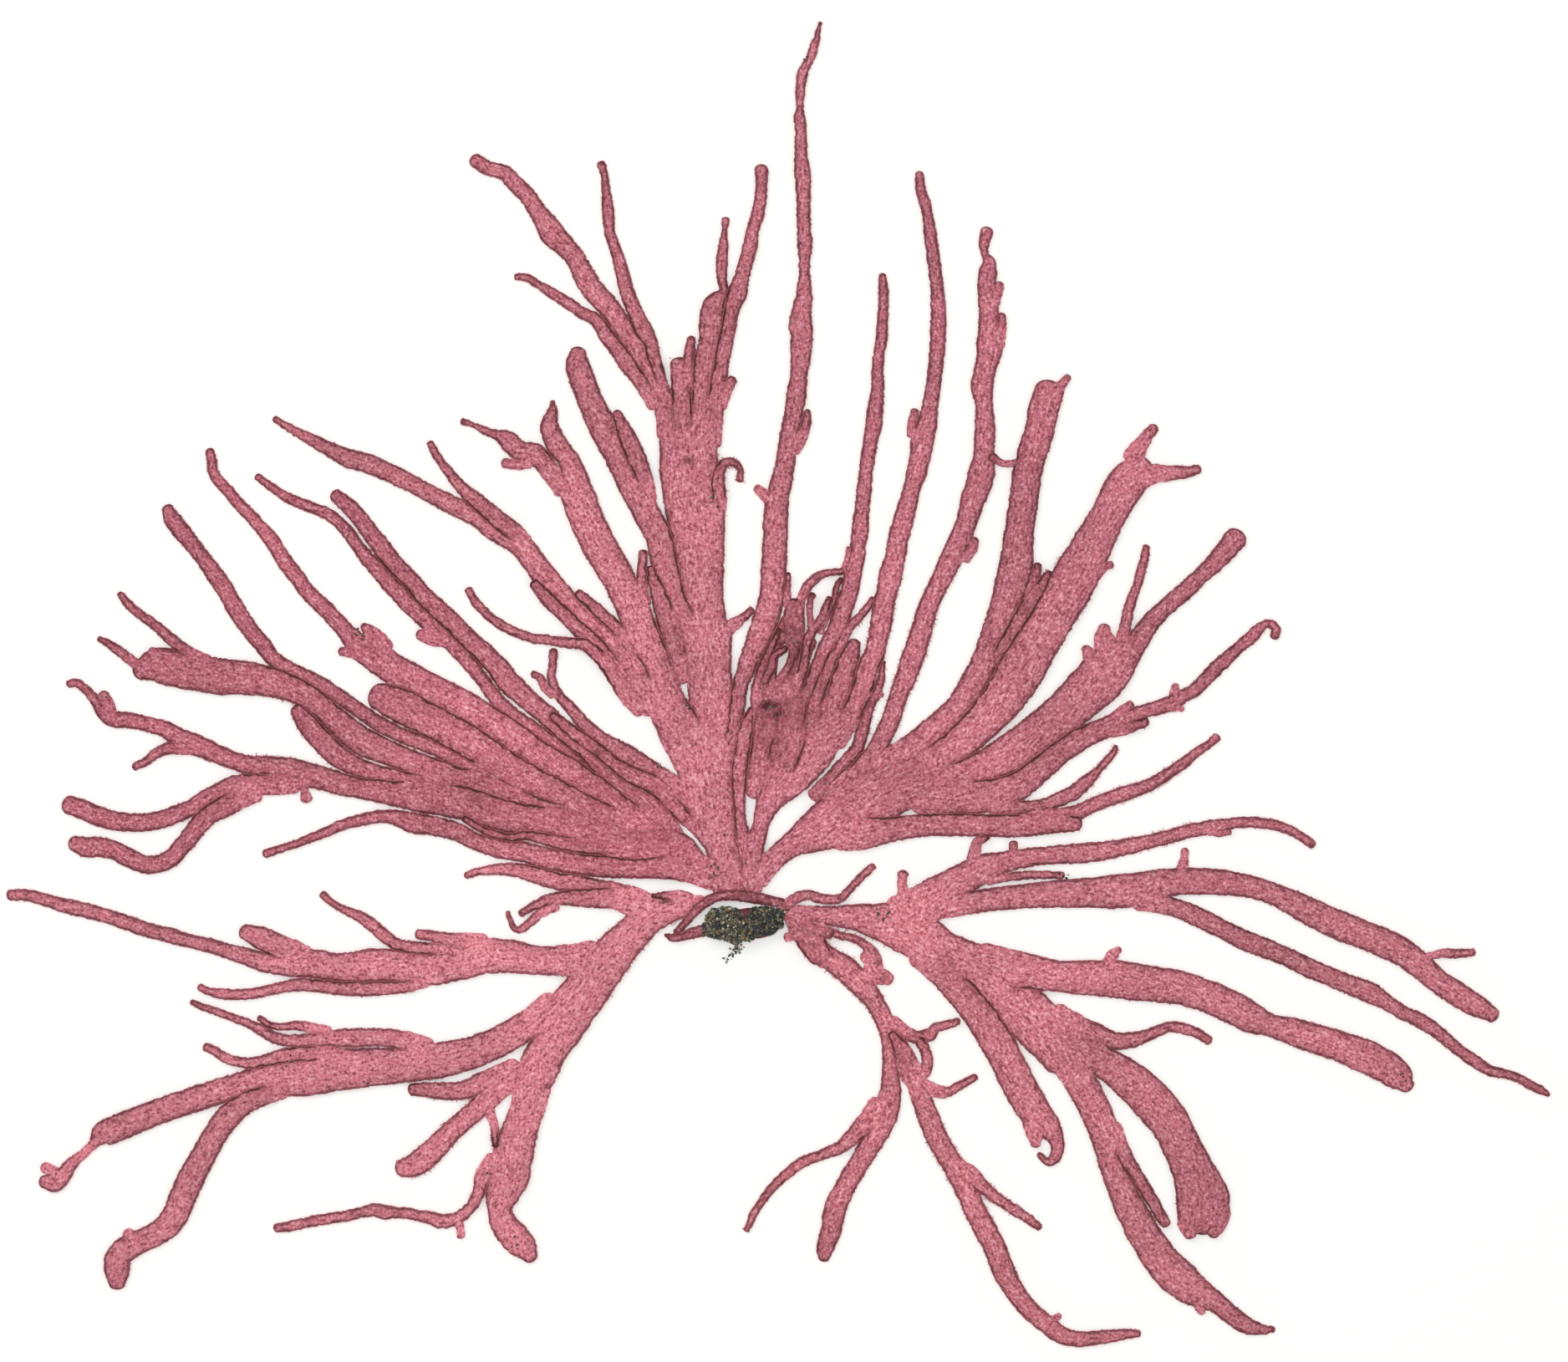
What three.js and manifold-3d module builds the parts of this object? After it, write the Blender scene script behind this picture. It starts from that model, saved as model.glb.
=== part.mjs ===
import * as THREE from 'three';
import Module from 'manifold-3d';
import { mergeVertices } from 'three/addons/utils/BufferGeometryUtils.js';

const wasm = await Module();
wasm.setup();

// A red alga with forked, strap-like fronds, lying flat. Millimetres, +Z up, origin at the holdfast.
const bladeWidthGain = 0.28; // how much thicker a wider blade is
const bladeBaseThickness = 0.4;
const bladeThinnest = 0.6;
const bladeThickest = 1.6;
const edgeHeight = 0.45; // where the blade's edge sits, as a share of its thickness
const undersideShare = 0.6; // flat part of the underside, as a share of the width
const topShare = 0.5; // flat part of the top, as a share of the width
const tipLength = 0.45; // rounded end beyond the last point, as a share of the width
const courseTolerance = 0.36; // a bend smaller than this is drawn straight
const layerStep = 0.37; // blades of one frond lie at heights spread over the layer range
const layerRange = 0.34;
const neighbourGap = 0.3;
const swell = { height: 0.45, rise: 0.22, lengthX: 9, lengthY: 11, phase: 0.7 };
const restSpots = [[-46, 13], [27, 21], [-5, 44], [30, -13], [-24, -12]];
const restSpotFlat = 3; // radius that lies on the surface
const restSpotReach = 11; // radius over which the blades come down
const layerLeft = 0.05; // share of the layer heights that is left at a rest spot

// Each branch from its tip to its base: [x, y, width].
const fronds = {
  frond_centre: {
    mainAxis: [[-5.6, 50, 5.6], [-5.65, 46, 6], [-5.3, 42.5, 5.9], [-4.9, 40, 5.8], [-4.6, 37, 5.2],
      [-4.4, 34, 4.6], [-4.2, 31, 4.4], [-3.9, 28, 5.2], [-3.6, 24.5, 4.6], [-3.3, 21, 5], [-4, 18, 6],
      [-4, 15, 5.8], [-3.6, 12, 5.2], [-3, 9, 4.6], [-2.2, 6.5, 3.4], [-1.9, 4, 3.6], [-1.5, 2.2, 3.2]],
    crownLeft: [[-27.5, 76.9, 1.4], [-26.2, 76.1, 1.5], [-24.6, 75.7, 1.5], [-23.5, 74.6, 1.7],
      [-22.2, 73.3, 1.7], [-21.2, 71.8, 1.8], [-20.1, 70.2, 2.3], [-19.6, 69.4, 2.6],
      [-18.5, 68.3, 2.2], [-17.2, 66.8, 2], [-16.4, 65.2, 2.2], [-15.4, 63.6, 2.2], [-13.8, 61.8, 2.2],
      [-12.5, 59.9, 2.2], [-11.2, 58.1, 2.2], [-9.6, 55.4, 2.2], [-8.7, 53.3, 2.2], [-8, 51.2, 2.2],
      [-7.8, 48.8, 2.2]],
    crownLeftLow: [[-23.3, 65, 0.6], [-22.2, 64.9, 0.8], [-20.9, 64.1, 0.85], [-19.6, 63.3, 1.1],
      [-18, 62.3, 1.15], [-16.4, 61.2, 1.2], [-15.1, 60.5, 1.4], [-13.8, 58.6, 1.6], [-12.8, 57.3, 1.6],
      [-11.9, 56, 1.7], [-10.3, 53.8, 1.5], [-9.2, 51.8, 1.3]],
    crownLeftHigh: [[-14.6, 76.5, 0.9], [-14.3, 75.4, 0.7], [-14.1, 73.6, 0.95], [-13.9, 71.5, 1.2],
      [-13.7, 69.4, 1.1], [-13, 67.3, 1.2], [-12.4, 65.2, 1.4], [-12, 63.6, 1.5], [-11.2, 61.5, 1.6],
      [-10.4, 59.7, 1.9], [-9.6, 58.4, 1.5], [-9.3, 57, 1.4], [-8.6, 54.8, 1.2], [-7.9, 52.5, 1]],
    crownMiddle: [[-6.6, 56, 1.9], [-6.4, 54, 2.1], [-6.3, 50, 2], [-6.2, 47, 2]],
    crownStub: [[-5.4, 58.6, 0.9], [-5.6, 56.5, 1.2], [-5.6, 54, 1.2]],
    crownRight: [[-1.85, 70.8, 0.8], [-2, 69.7, 0.55], [-2.1, 68.3, 0.95], [-2.25, 66.5, 1.15],
      [-2.25, 64.7, 1], [-2.1, 63.5, 1], [-3, 62.2, 2.2], [-3.3, 60.5, 2.5], [-3.5, 58.5, 2.2],
      [-4, 56, 2.3], [-4.2, 53, 2.2], [-4.3, 49, 2.4]],
    crownRightHigh: [[1.8, 76, 1.3], [1.8, 74.1, 1.2], [1.55, 72, 1.3], [0.9, 69.7, 1.3],
      [0.5, 67.6, 1.5], [-0.15, 65.2, 1.5], [-0.7, 63.3, 2], [-1.2, 61.8, 1.6], [-1.6, 59.7, 1.5],
      [-2, 57.8, 1.6], [-2.3, 56, 1.5], [-2.6, 54, 1.7], [-3, 51, 1.8], [-3.3, 48, 2]],
    crownRightStub: [[-1.2, 54.4, 1], [-1.8, 53.4, 1.2], [-2.5, 51.8, 1.4]],
    sideRight: [[-0.4, 44.2, 0.65], [-0.4, 45.4, 0.65], [-1.2, 46, 0.8], [-2.1, 45.8, 1],
      [-2.65, 44.3, 1.3], [-2.5, 42.2, 1.4], [-2.6, 40, 1.2]],
    sideRightLow: [[0.75, 30.8, 0.8], [-0.2, 30, 0.95], [-1.3, 29.2, 1.4], [-2.2, 28.5, 1.6]],
    leftTall: [[-17, 57.2, 1.6], [-17, 55.9, 2.5], [-15.9, 52.7, 2.6], [-14.3, 49.3, 2.9],
      [-12.8, 46.7, 3], [-11.2, 43.3, 3], [-10, 40.9, 2.75], [-8.8, 38.5, 2.7], [-8.3, 36.4, 2.7],
      [-7.8, 33.8, 2.8], [-7.1, 31.7, 2.6], [-6.2, 29.8, 2.5], [-5.3, 27.5, 2.5]],
    leftTallRoot: [[-9.6, 35, 1], [-8.4, 31.5, 1.9], [-7.3, 27.8, 2.2], [-6.3, 23.8, 1.8]],
    leftTallSide: [[-13, 51, 0.9], [-11.8, 48.2, 1.9], [-10.5, 45.2, 1.8], [-9.5, 42.2, 1.2]],
    leftBroad: [[-19.6, 52.2, 0.4], [-19.6, 51.2, 1.1], [-19.9, 49.6, 1.9], [-19.1, 47.7, 2.2],
      [-17.8, 45.9, 2.3], [-17.2, 43.2, 3.4], [-16, 39.9, 3.5], [-14.4, 36.7, 3.5], [-12.9, 34.2, 3.3],
      [-11.6, 31.5, 3.4], [-10.6, 29, 3.3], [-9.6, 26.5, 3.4], [-8.7, 24, 3.6], [-8, 21.5, 4],
      [-6.5, 18.5, 4.5], [-5, 15.5, 4.5]],
    leftBroadFork: [[-28.8, 50.2, 0.6], [-27.7, 49.8, 0.5], [-26.7, 49.3, 0.8], [-25.4, 48.8, 1],
      [-24.3, 48.3, 1.9], [-23, 47.2, 2], [-21.2, 46.7, 2.2], [-19.9, 45.1, 2], [-18.5, 43.3, 2]],
    leftBroadStub: [[-24.5, 45.9, 0.9], [-23.3, 45.8, 1.1], [-22, 46, 1.2]],
    leftStub: [[-10.3, 36.7, 0.9], [-10.4, 35.1, 1], [-10.5, 33.6, 1.1], [-10.1, 31.5, 1.2]],
    leftLong: [[-48, 50.4, 0.7], [-46, 49.2, 0.9], [-43.1, 47.7, 1.4], [-40.5, 46.4, 1.9],
      [-38.6, 45.9, 2], [-35, 44.3, 1.8], [-32, 42.7, 1.8], [-30.1, 41.7, 1.9], [-27.5, 40.4, 1.9],
      [-25.1, 38.8, 2.2], [-23, 37.6, 2.4], [-21.6, 35.9, 2.4], [-20.5, 34.4, 2.5], [-18.5, 32.2, 2.4],
      [-16.4, 30.3, 2.2], [-14.6, 28.9, 2.2], [-12.9, 27.2, 2.2], [-11.6, 25.3, 2.4], [-10.5, 23, 2.6],
      [-9.3, 21, 2.8]],
    leftLongFork: [[-32.1, 47.9, 0.75], [-31.3, 46.4, 0.8], [-30.1, 44.8, 1], [-28.8, 43.3, 1.3],
      [-27, 41.7, 1.7], [-24.9, 39.9, 1.9], [-23.3, 38.6, 1.9], [-22, 36.8, 2]],
    leftShort: [[-21.4, 33.5, 1.1], [-20, 31.9, 1.5], [-18.5, 30.5, 1.5], [-17, 29, 1.6],
      [-15.3, 27.4, 1.8], [-13.6, 25.4, 1.8], [-12.3, 23.3, 2]],
    leftShortStub: [[-16.9, 32.5, 1], [-15.6, 31.4, 1.2], [-14.1, 30, 1.3], [-12.6, 28.6, 1.4],
      [-11.2, 27, 1.2]],
    leftBend: [[-28.2, 32.9, 0.75], [-27.5, 31.7, 0.9], [-26.4, 30.5, 0.9], [-25.1, 29.5, 1],
      [-23.6, 28.7, 1], [-21.7, 28, 0.95], [-19.9, 27.8, 1], [-18, 27.5, 1.1], [-16.5, 27.4, 1.2],
      [-15.4, 26.7, 1.4], [-14.4, 25.7, 1.5], [-13.2, 24, 1.6], [-12, 22.2, 1.8], [-10.5, 20.8, 2]],
    leftLow: [[-19.5, 26.6, 0.9], [-19.6, 25.2, 0.8], [-19.7, 23.8, 0.9], [-19, 22.2, 1],
      [-17.8, 20.9, 1.2], [-16.4, 19.2, 1.4], [-14.6, 17.6, 1.6], [-13, 16.5, 2.2], [-11, 15.4, 2.1],
      [-9.2, 14.4, 1.7], [-7.6, 13.2, 2], [-5.8, 11.8, 2.4]],
    leftLowStub: [[-21.6, 24.3, 0.6], [-20.9, 24, 0.8], [-20.4, 23, 0.9], [-19.6, 22.2, 1]],
    slimStem: [[7.8, 91, 0.35], [7.5, 89.6, 0.55], [7.2, 88.6, 0.9], [6.9, 87.6, 0.9], [6.3, 86.5, 0.9],
      [6, 85.7, 1.1], [5.8, 84.4, 1], [5.75, 83.3, 0.9], [5.75, 82.4, 0.65], [5.7, 81.2, 1.2],
      [5.8, 80.4, 1.1], [5.85, 78.9, 1.2], [5.85, 77.3, 1.3], [6, 75.7, 1.6], [6.1, 74.1, 1.55],
      [6.1, 72, 1.4], [6.15, 70, 1.4], [6.25, 68.1, 1.5], [6.2, 66.5, 1.1], [6.2, 65, 1.2],
      [6.15, 63.1, 1.7], [5.9, 61.3, 2], [5.8, 60, 2.4], [5.95, 58.9, 2.2], [5.85, 57.2, 2.1],
      [5.65, 55, 1.8], [5.4, 53, 2], [5.1, 51, 1.9], [4.7, 49, 1.9], [4.4, 47, 1.95], [4.1, 45, 2.1],
      [3.6, 43, 2.2], [3.3, 41, 2.5], [3.2, 38, 2.5], [3.05, 35, 2.6], [2.9, 33, 2.5], [2.6, 31, 2.6],
      [1.9, 29, 2.6], [1.1, 27, 2.3], [0.3, 25, 1.9], [-0.4, 23, 1.6], [-0.7, 21, 1.6], [-0.9, 19, 1.5],
      [-1.4, 17.2, 1.6], [-1.8, 15.4, 1.8]],
    slimStemStubHigh: [[6.5, 51.2, 0.6], [6.4, 50, 1], [5.9, 48.6, 1.2], [5.1, 47.3, 1.4]],
    slimStemStubLow: [[1.4, 43.3, 0.9], [2, 42.8, 1.1], [2.8, 42, 1.3]],
  },
  frond_left_fan: {
    rayA: [[-49.8, 44.5, 0.7], [-48, 43.2, 0.9], [-46.8, 42.4, 1], [-44.9, 41.6, 1.1],
      [-42.8, 40.8, 1.2], [-41.7, 40, 1.2], [-40.5, 38.8, 1.3], [-39.7, 37.6, 1.3], [-38.6, 36.2, 1.5],
      [-37, 34.4, 1.7], [-35.3, 32.5, 1.8], [-34, 31.2, 1.8], [-32.5, 29.8, 1.9], [-31, 28.4, 1.9],
      [-29.5, 27, 1.7], [-28.3, 25.6, 1.5], [-27, 24, 1.4], [-26, 22.6, 1.4], [-25, 21.3, 1.5],
      [-23.6, 20, 1.6], [-22, 18.9, 1.6], [-20, 17.5, 1.5], [-18, 15.9, 1.7], [-16, 14, 2],
      [-14, 12.2, 2.2], [-12, 10.6, 2.6], [-10, 9.2, 3], [-7.5, 7, 3.6]],
    rayA2: [[-33.2, 28.3, 1], [-32.2, 28.2, 1.8], [-31, 27.8, 1.5]],
    rayB: [[-41.8, 42.6, 1.3], [-40.6, 41.6, 1.6], [-39.7, 40.7, 1.7], [-38.5, 39.1, 1.7],
      [-37.2, 37.4, 1.9], [-35.9, 35.7, 1.9], [-34.3, 34.1, 1.8], [-33, 32.5, 1.9], [-31.4, 31, 2],
      [-29.9, 29.6, 2], [-28.3, 28, 2], [-26.7, 26.5, 2.1], [-25.4, 25.2, 2.2], [-24, 23.4, 2.4],
      [-22, 21.6, 2.1], [-20, 19.9, 2.1], [-18, 18, 1.9], [-16, 16.2, 1.6], [-14, 13.8, 1.8],
      [-12, 12.3, 2.1], [-10, 11.4, 2.3], [-8.3, 9.5, 2.3], [-7, 7.2, 2.2]],
    rayC: [[-54.7, 47.1, 0.9], [-54.5, 46.2, 1], [-54.4, 45.1, 1.1], [-53.8, 44.1, 1.1],
      [-52.7, 42.9, 1.2], [-51.7, 41.7, 1.2], [-50.5, 40.5, 1.3], [-49.4, 39.2, 1.35],
      [-48.5, 38.2, 1.5], [-47.6, 36.7, 1.5], [-46.7, 35.4, 1.6], [-45.7, 34.1, 1.6],
      [-44.6, 32.6, 1.6], [-43.1, 31.2, 1.7], [-41.8, 29.8, 1.7], [-40.7, 28.6, 1.9], [-39.2, 27, 2.6],
      [-36, 24.9, 3.2], [-33, 23.2, 3.2], [-30, 21.8, 3.1], [-27, 20.1, 3.1], [-24, 18.2, 3],
      [-21, 16.1, 2.9], [-18, 14.2, 3.2], [-15, 12, 3.4], [-12, 9.5, 3.6], [-9, 7.6, 4]],
    rayC2: [[-41.2, 26.6, 0.9], [-40.1, 26.6, 1.3], [-38.8, 26.2, 1.8]],
    rayC3: [[-38.9, 29.2, 0.8], [-38, 28.3, 1.8], [-36.8, 26.9, 2]],
    rayD: [[-59, 41.2, 1.2], [-58.5, 40.1, 1.8], [-57.4, 38.7, 1.8], [-56.2, 37.2, 1.6],
      [-55.2, 35.9, 1.6], [-54.3, 34.6, 1.8], [-53.3, 33.2, 1.8], [-52.4, 31.6, 1.8], [-51.4, 30, 1.8],
      [-50.5, 28.7, 1.7], [-49.4, 27.4, 1.7], [-48.4, 26.1, 1.6], [-47.2, 25.2, 1.5],
      [-45.2, 24.2, 1.5], [-43, 23, 1.6], [-41, 21.7, 1.5], [-39, 20.3, 1.5], [-37, 19, 1.6],
      [-34.5, 17.8, 1.5], [-32, 16.9, 1.6], [-29.5, 15.7, 1.9], [-27, 14.4, 2.4], [-24, 13.2, 2.6]],
    rayE: [[-37.3, 22, 2.8], [-35, 21, 3.5], [-32, 19.5, 3.4], [-29, 17.9, 3.4], [-26, 16, 3.2],
      [-23, 14.2, 3], [-20, 12.5, 3], [-17, 10.8, 3.2], [-14, 9.2, 3.4], [-11, 7.6, 3.6]],
    rayF: [[-61.8, 24.7, 2], [-60, 25.2, 3.7], [-57, 24.6, 3.7], [-54, 24.1, 3.7], [-51, 23.9, 3.4],
      [-48, 23.4, 3], [-45, 22.2, 2.6], [-43, 20.7, 2.5], [-41, 18.9, 2.7], [-39, 17.4, 2.9],
      [-36.5, 16.3, 2.6], [-34, 15.3, 2.5], [-31, 14.1, 2.6], [-28, 12.9, 3], [-25, 11.6, 3.2],
      [-22, 10.4, 3.2], [-19, 9.4, 3.2], [-16, 8.4, 3.4]],
    rayF1: [[-63.9, 32.5, 0.6], [-63.1, 31.5, 0.9], [-62, 30.5, 0.9], [-60.7, 29.6, 1],
      [-59.6, 28.7, 1.1], [-58.1, 27.4, 1.2], [-56.8, 26.5, 1.2], [-55, 25.6, 1.4]],
    rayF2: [[-66, 27.9, 0.6], [-64.6, 27.1, 0.9], [-63.3, 26.1, 1], [-62.3, 25.4, 1.1], [-61.2, 25, 1.3]],
    rayF3: [[-60.6, 26.6, 1], [-60, 26.2, 1.5], [-58.8, 25.5, 2]],
    rayG: [[-45.7, 20.6, 1.5], [-44.7, 19.2, 2.2], [-43.3, 17.6, 2.3], [-41.8, 16.1, 2.3], [-40, 15, 2],
      [-38, 14.3, 1.8], [-36, 13.8, 1.7], [-33.5, 13.2, 1.8], [-31, 12.6, 2]],
    rayH1: [[-69.1, 23.3, 0.8], [-68.3, 23.4, 0.8], [-67.3, 22.6, 0.9], [-66.5, 21.7, 1],
      [-65.7, 20.4, 1.3], [-64.7, 19.7, 1.6], [-63.1, 19.6, 1.6], [-61.2, 19.2, 1.5],
      [-59.4, 18.7, 1.7], [-57.8, 17.7, 2], [-56, 17, 2.2], [-54.1, 16.2, 1.9], [-52.3, 15.5, 1.8],
      [-50.7, 15, 1.9], [-48.5, 14.9, 2], [-46, 14.2, 2.8], [-43.5, 13.7, 2.4], [-41, 13, 2.3],
      [-39, 12.6, 2.2], [-36.5, 12.2, 2.5], [-34, 11.8, 2.9], [-31, 11.5, 3.4], [-28, 10.9, 3.5],
      [-25, 9.9, 3.4], [-22, 9.4, 3.2], [-19, 8.9, 3.2], [-16, 7.8, 3.4], [-13, 6.6, 3.8],
      [-10, 6.2, 4.2], [-7, 5.9, 4.6], [-5, 4.7, 3.1], [-3.2, 3.6, 2.8], [-2.6, 3.2, 2.4]],
    rayH1b: [[-65.6, 22.2, 1], [-65.2, 21.2, 1.3], [-64.9, 20.2, 1.3]],
    rayH2: [[-62.4, 14.8, 0.7], [-61.2, 15.4, 0.9], [-60.2, 16.2, 1], [-58.9, 16.7, 1.2],
      [-57.3, 16.7, 1.3], [-56, 16.7, 1.4]],
    rayH3: [[-69.1, 10.9, 1.9], [-67.8, 10.5, 2], [-66, 9.7, 2], [-63.9, 9.2, 1.9], [-62, 9.1, 1.8],
      [-60.2, 9.3, 1.8], [-58.6, 9.8, 1.8], [-56.8, 10.5, 1.7], [-55.2, 11.4, 2], [-53.6, 12.2, 2.1],
      [-52, 12.8, 2.3], [-50, 13, 2.2], [-48, 13, 2.1], [-46, 13.2, 2.2]],
    rayH4: [[-68.6, 7, 1.5], [-67.5, 6.6, 2], [-66, 6.6, 2], [-64.4, 6.2, 1.9], [-62.8, 5.4, 1.9],
      [-61.2, 4.8, 1.8], [-59.9, 4.9, 1.8], [-58.6, 5.5, 1.8], [-57.6, 6.6, 1.8], [-56.6, 7.8, 1.9],
      [-55.8, 8.9, 1.9], [-54.7, 9.9, 2], [-53.1, 10.8, 2.2], [-51.5, 11.6, 2.1], [-50, 12.2, 2]],
    rayH5: [[-44.8, 11.6, 1.2], [-45, 12.3, 0.8], [-45.1, 13.2, 0.8]],
    rayI: [[-49, 5.9, 0.8], [-47.8, 6.3, 0.8], [-46, 6.9, 0.8], [-44.4, 7.5, 0.9], [-42.9, 8.1, 1],
      [-41, 8.9, 1.1], [-39.4, 9.3, 1.2], [-37.6, 9.7, 1.3], [-36, 9.7, 1.5], [-34, 9.1, 2.1],
      [-32, 8.8, 2], [-29.5, 8.2, 1.9], [-27.5, 7.2, 1.8], [-25, 6.4, 1.9], [-22.5, 6.1, 2.1],
      [-20, 5.4, 2.2], [-17, 4.9, 2.2], [-14, 4.6, 2.3], [-11, 4.4, 2], [-8, 4.5, 2.4],
      [-5.5, 4.2, 2.5], [-3.4, 3.4, 2.4]],
    rayJ: [[-28.6, 9.5, 0.7], [-26.5, 8.3, 0.8], [-24, 7.6, 0.9], [-22, 7.8, 1], [-19.5, 7.2, 1.4],
      [-17, 6.8, 1.6], [-14.5, 6.5, 1.5], [-12, 6.2, 1.6]],
    rayK: [[-19.5, 20, 1], [-17.3, 18.2, 1.4], [-15, 16.6, 1.4], [-13.2, 15.1, 1.5], [-11.5, 14, 1.8],
      [-9.5, 13.1, 2], [-8, 11.8, 1.8], [-6.5, 10.1, 1.6], [-5.3, 8.8, 1.2], [-4.5, 7.8, 0.9]],
  },
  frond_left_low: {
    mainAxis: [[-21.8, -18, 3.8], [-21, -16, 4.1], [-20, -14, 4], [-18.6, -12, 4.3], [-17.6, -10, 4.8],
      [-16.2, -8.1, 4.7], [-14.6, -6, 4.4], [-12.9, -3.8, 4], [-11, -1.9, 3.5], [-9.3, -0.6, 2.9],
      [-7.3, 0.1, 2.3], [-5.6, 0.6, 1.8], [-4.3, 1, 1.4]],
    basal1: [[-28.4, 3.7, 0.7], [-27, 4.1, 0.8], [-24.9, 4.3, 1.2], [-23, 4.2, 1.5], [-21.2, 3.7, 1.7],
      [-19.1, 3.1, 1.8], [-17, 2.8, 1.9], [-15, 2.3, 2], [-13, 1.9, 2.1], [-11, 1.1, 2.6],
      [-9.6, 0.3, 2.6]],
    basal2a: [[-24.2, -0.1, 0.4], [-23.9, -1, 0.5], [-23.3, -1.9, 0.6], [-22.5, -1.6, 0.8],
      [-21.6, -0.8, 0.9], [-20.7, -0.1, 0.9], [-19.3, 0.6, 1.2]],
    basal2b: [[-22.8, -0.2, 0.7], [-22, 0.3, 0.8], [-20.9, 0.85, 1], [-19.6, 1.3, 1.2], [-18, 1.4, 1.6],
      [-16.4, 1.4, 1.9], [-14.9, 1.4, 2.1], [-13, 1.3, 2.2], [-11, 0.5, 2.6]],
    basal3: [[-9.3, 1.6, 0.5], [-8, 1.6, 0.9], [-6.6, 1.5, 1.3], [-5.4, 1.2, 1.2]],
    arm1: [[-75.1, 1.7, 1.1], [-73.9, 1.7, 1.1], [-72.3, 1.4, 1.2], [-70.7, 0.9, 1.3],
      [-69.1, 0.5, 1.5], [-67, 0, 1.5], [-64.9, -0.6, 1.4], [-62.8, -1.3, 1.5], [-60.7, -2, 1.5],
      [-58.6, -2.5, 1.5], [-56.5, -3.1, 1.4], [-54.7, -3.5, 1.5], [-52.8, -4.1, 1.5],
      [-50.7, -4.7, 1.8], [-49.2, -5.2, 2], [-46.5, -5.2, 3], [-44, -5.4, 2.9], [-41, -5.7, 2.95],
      [-38, -5.5, 3.4], [-35, -5.6, 3.3], [-32, -5.9, 3.2], [-29, -5.5, 3], [-26.5, -4.6, 3.6],
      [-24, -4.6, 3.4], [-21, -5, 2.9], [-18, -5, 3.2], [-15.5, -4.8, 3.6]],
    arm1a: [[-33.3, -2.35, 1], [-32, -2.5, 1.1], [-30.1, -2.9, 1.4], [-28.3, -3, 1.6],
      [-26.7, -3.2, 1.9]],
    arm1b: [[-43.1, 1.7, 0.8], [-42.2, 0.9, 0.7], [-41, 0.2, 0.8], [-39.4, -0.5, 1.1],
      [-38.1, -1.4, 1.3], [-36.7, -2.6, 1.3], [-35.4, -3.4, 1.2], [-33.3, -3.7, 1.2],
      [-31.4, -3.8, 1.2], [-29.5, -4, 1.4]],
    arm1c: [[-51.1, -2.1, 1.5], [-49.7, -2.6, 2.2], [-48.1, -3.4, 2.4], [-46.5, -4, 2.4],
      [-45, -4.6, 2.2]],
    arm1d: [[-55.7, -7.8, 0.7], [-54.7, -8.2, 0.8], [-53.1, -8.5, 1.1], [-51.5, -8.5, 1.1],
      [-49.7, -8.3, 1.1], [-47.9, -7.9, 1.1], [-45.7, -7.5, 1.3], [-43.9, -7.6, 1.3],
      [-42.1, -7.8, 1.4], [-40.2, -7.9, 1.5], [-38.1, -7.9, 1.5], [-36, -7.8, 1.3], [-34.1, -7.6, 1.2],
      [-32, -6.9, 1.2]],
    arm2: [[-66.6, -23.8, 1], [-65.9, -22.9, 2.2], [-65.2, -22.6, 2.7], [-63, -21.7, 2.7],
      [-60, -20.5, 2.6], [-57, -19.5, 2.6], [-54, -18.5, 2.6], [-51, -17.6, 2.6], [-48, -17.1, 3.4],
      [-45, -16.8, 4.2], [-42, -16.3, 4.2], [-39, -16, 4], [-36, -15.8, 3.7], [-33, -15.5, 3.6],
      [-31, -15.2, 3.6], [-28, -14.5, 3.3], [-25, -13.3, 3.1], [-22, -11.5, 3], [-19.5, -9.9, 3.6]],
    arm2t: [[-71.7, -27.7, 1.3], [-70.7, -27.7, 2.1], [-69.7, -27, 1.7], [-68.9, -25.9, 1.3],
      [-67.8, -24.9, 0.9], [-66.6, -23.8, 1]],
    arm2u: [[-71.6, -26.2, 1.1], [-70.6, -26.7, 1.1]],
    arm2a: [[-56.5, -9.3, 0.6], [-55.4, -9.8, 0.7], [-53.9, -10.3, 0.8], [-52.3, -10.9, 0.8],
      [-50.7, -11.5, 0.9], [-49.4, -12.2, 1.1], [-48.1, -12.9, 1.2], [-46.8, -13.2, 1.2],
      [-45, -13.2, 1.3], [-42.9, -13, 1.5], [-40.2, -12.95, 1.9], [-37, -12.9, 1.8], [-34.5, -13.3, 2],
      [-32.5, -14, 2.2]],
    arm2b: [[-49.6, -10.9, 0.6], [-48.6, -11.6, 0.7], [-47.3, -11.8, 0.7], [-45.7, -11.7, 0.9],
      [-44.1, -12, 1.1], [-42.6, -12.3, 1.1]],
    arm2c: [[-55.1, -13.9, 0.8], [-54.2, -14.3, 0.9], [-53.1, -15, 1], [-51.8, -15.4, 1],
      [-50.5, -15.5, 1.1], [-48.9, -15.2, 1.2], [-46.8, -14.7, 1.5], [-44.1, -14.5, 1.5],
      [-41.5, -14.6, 1.5]],
    arm2e: [[-64.2, -38, 1.8], [-64.2, -36.8, 2.6], [-64.1, -35.4, 2.6], [-62.9, -34.3, 2.6],
      [-61.2, -33.5, 2.4], [-59.4, -32.5, 2.5], [-58.2, -31, 2.7], [-57.4, -29, 2.8],
      [-56.4, -26.9, 2.7], [-55.2, -24.7, 2.5], [-54, -22.6, 2.5], [-52.7, -20.9, 2.5],
      [-51, -19.6, 2.2], [-49, -18.8, 2], [-46.5, -18, 1.8]],
    arm2f: [[-63.1, -33, 1.2], [-62.5, -33.7, 1.6]],
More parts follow.
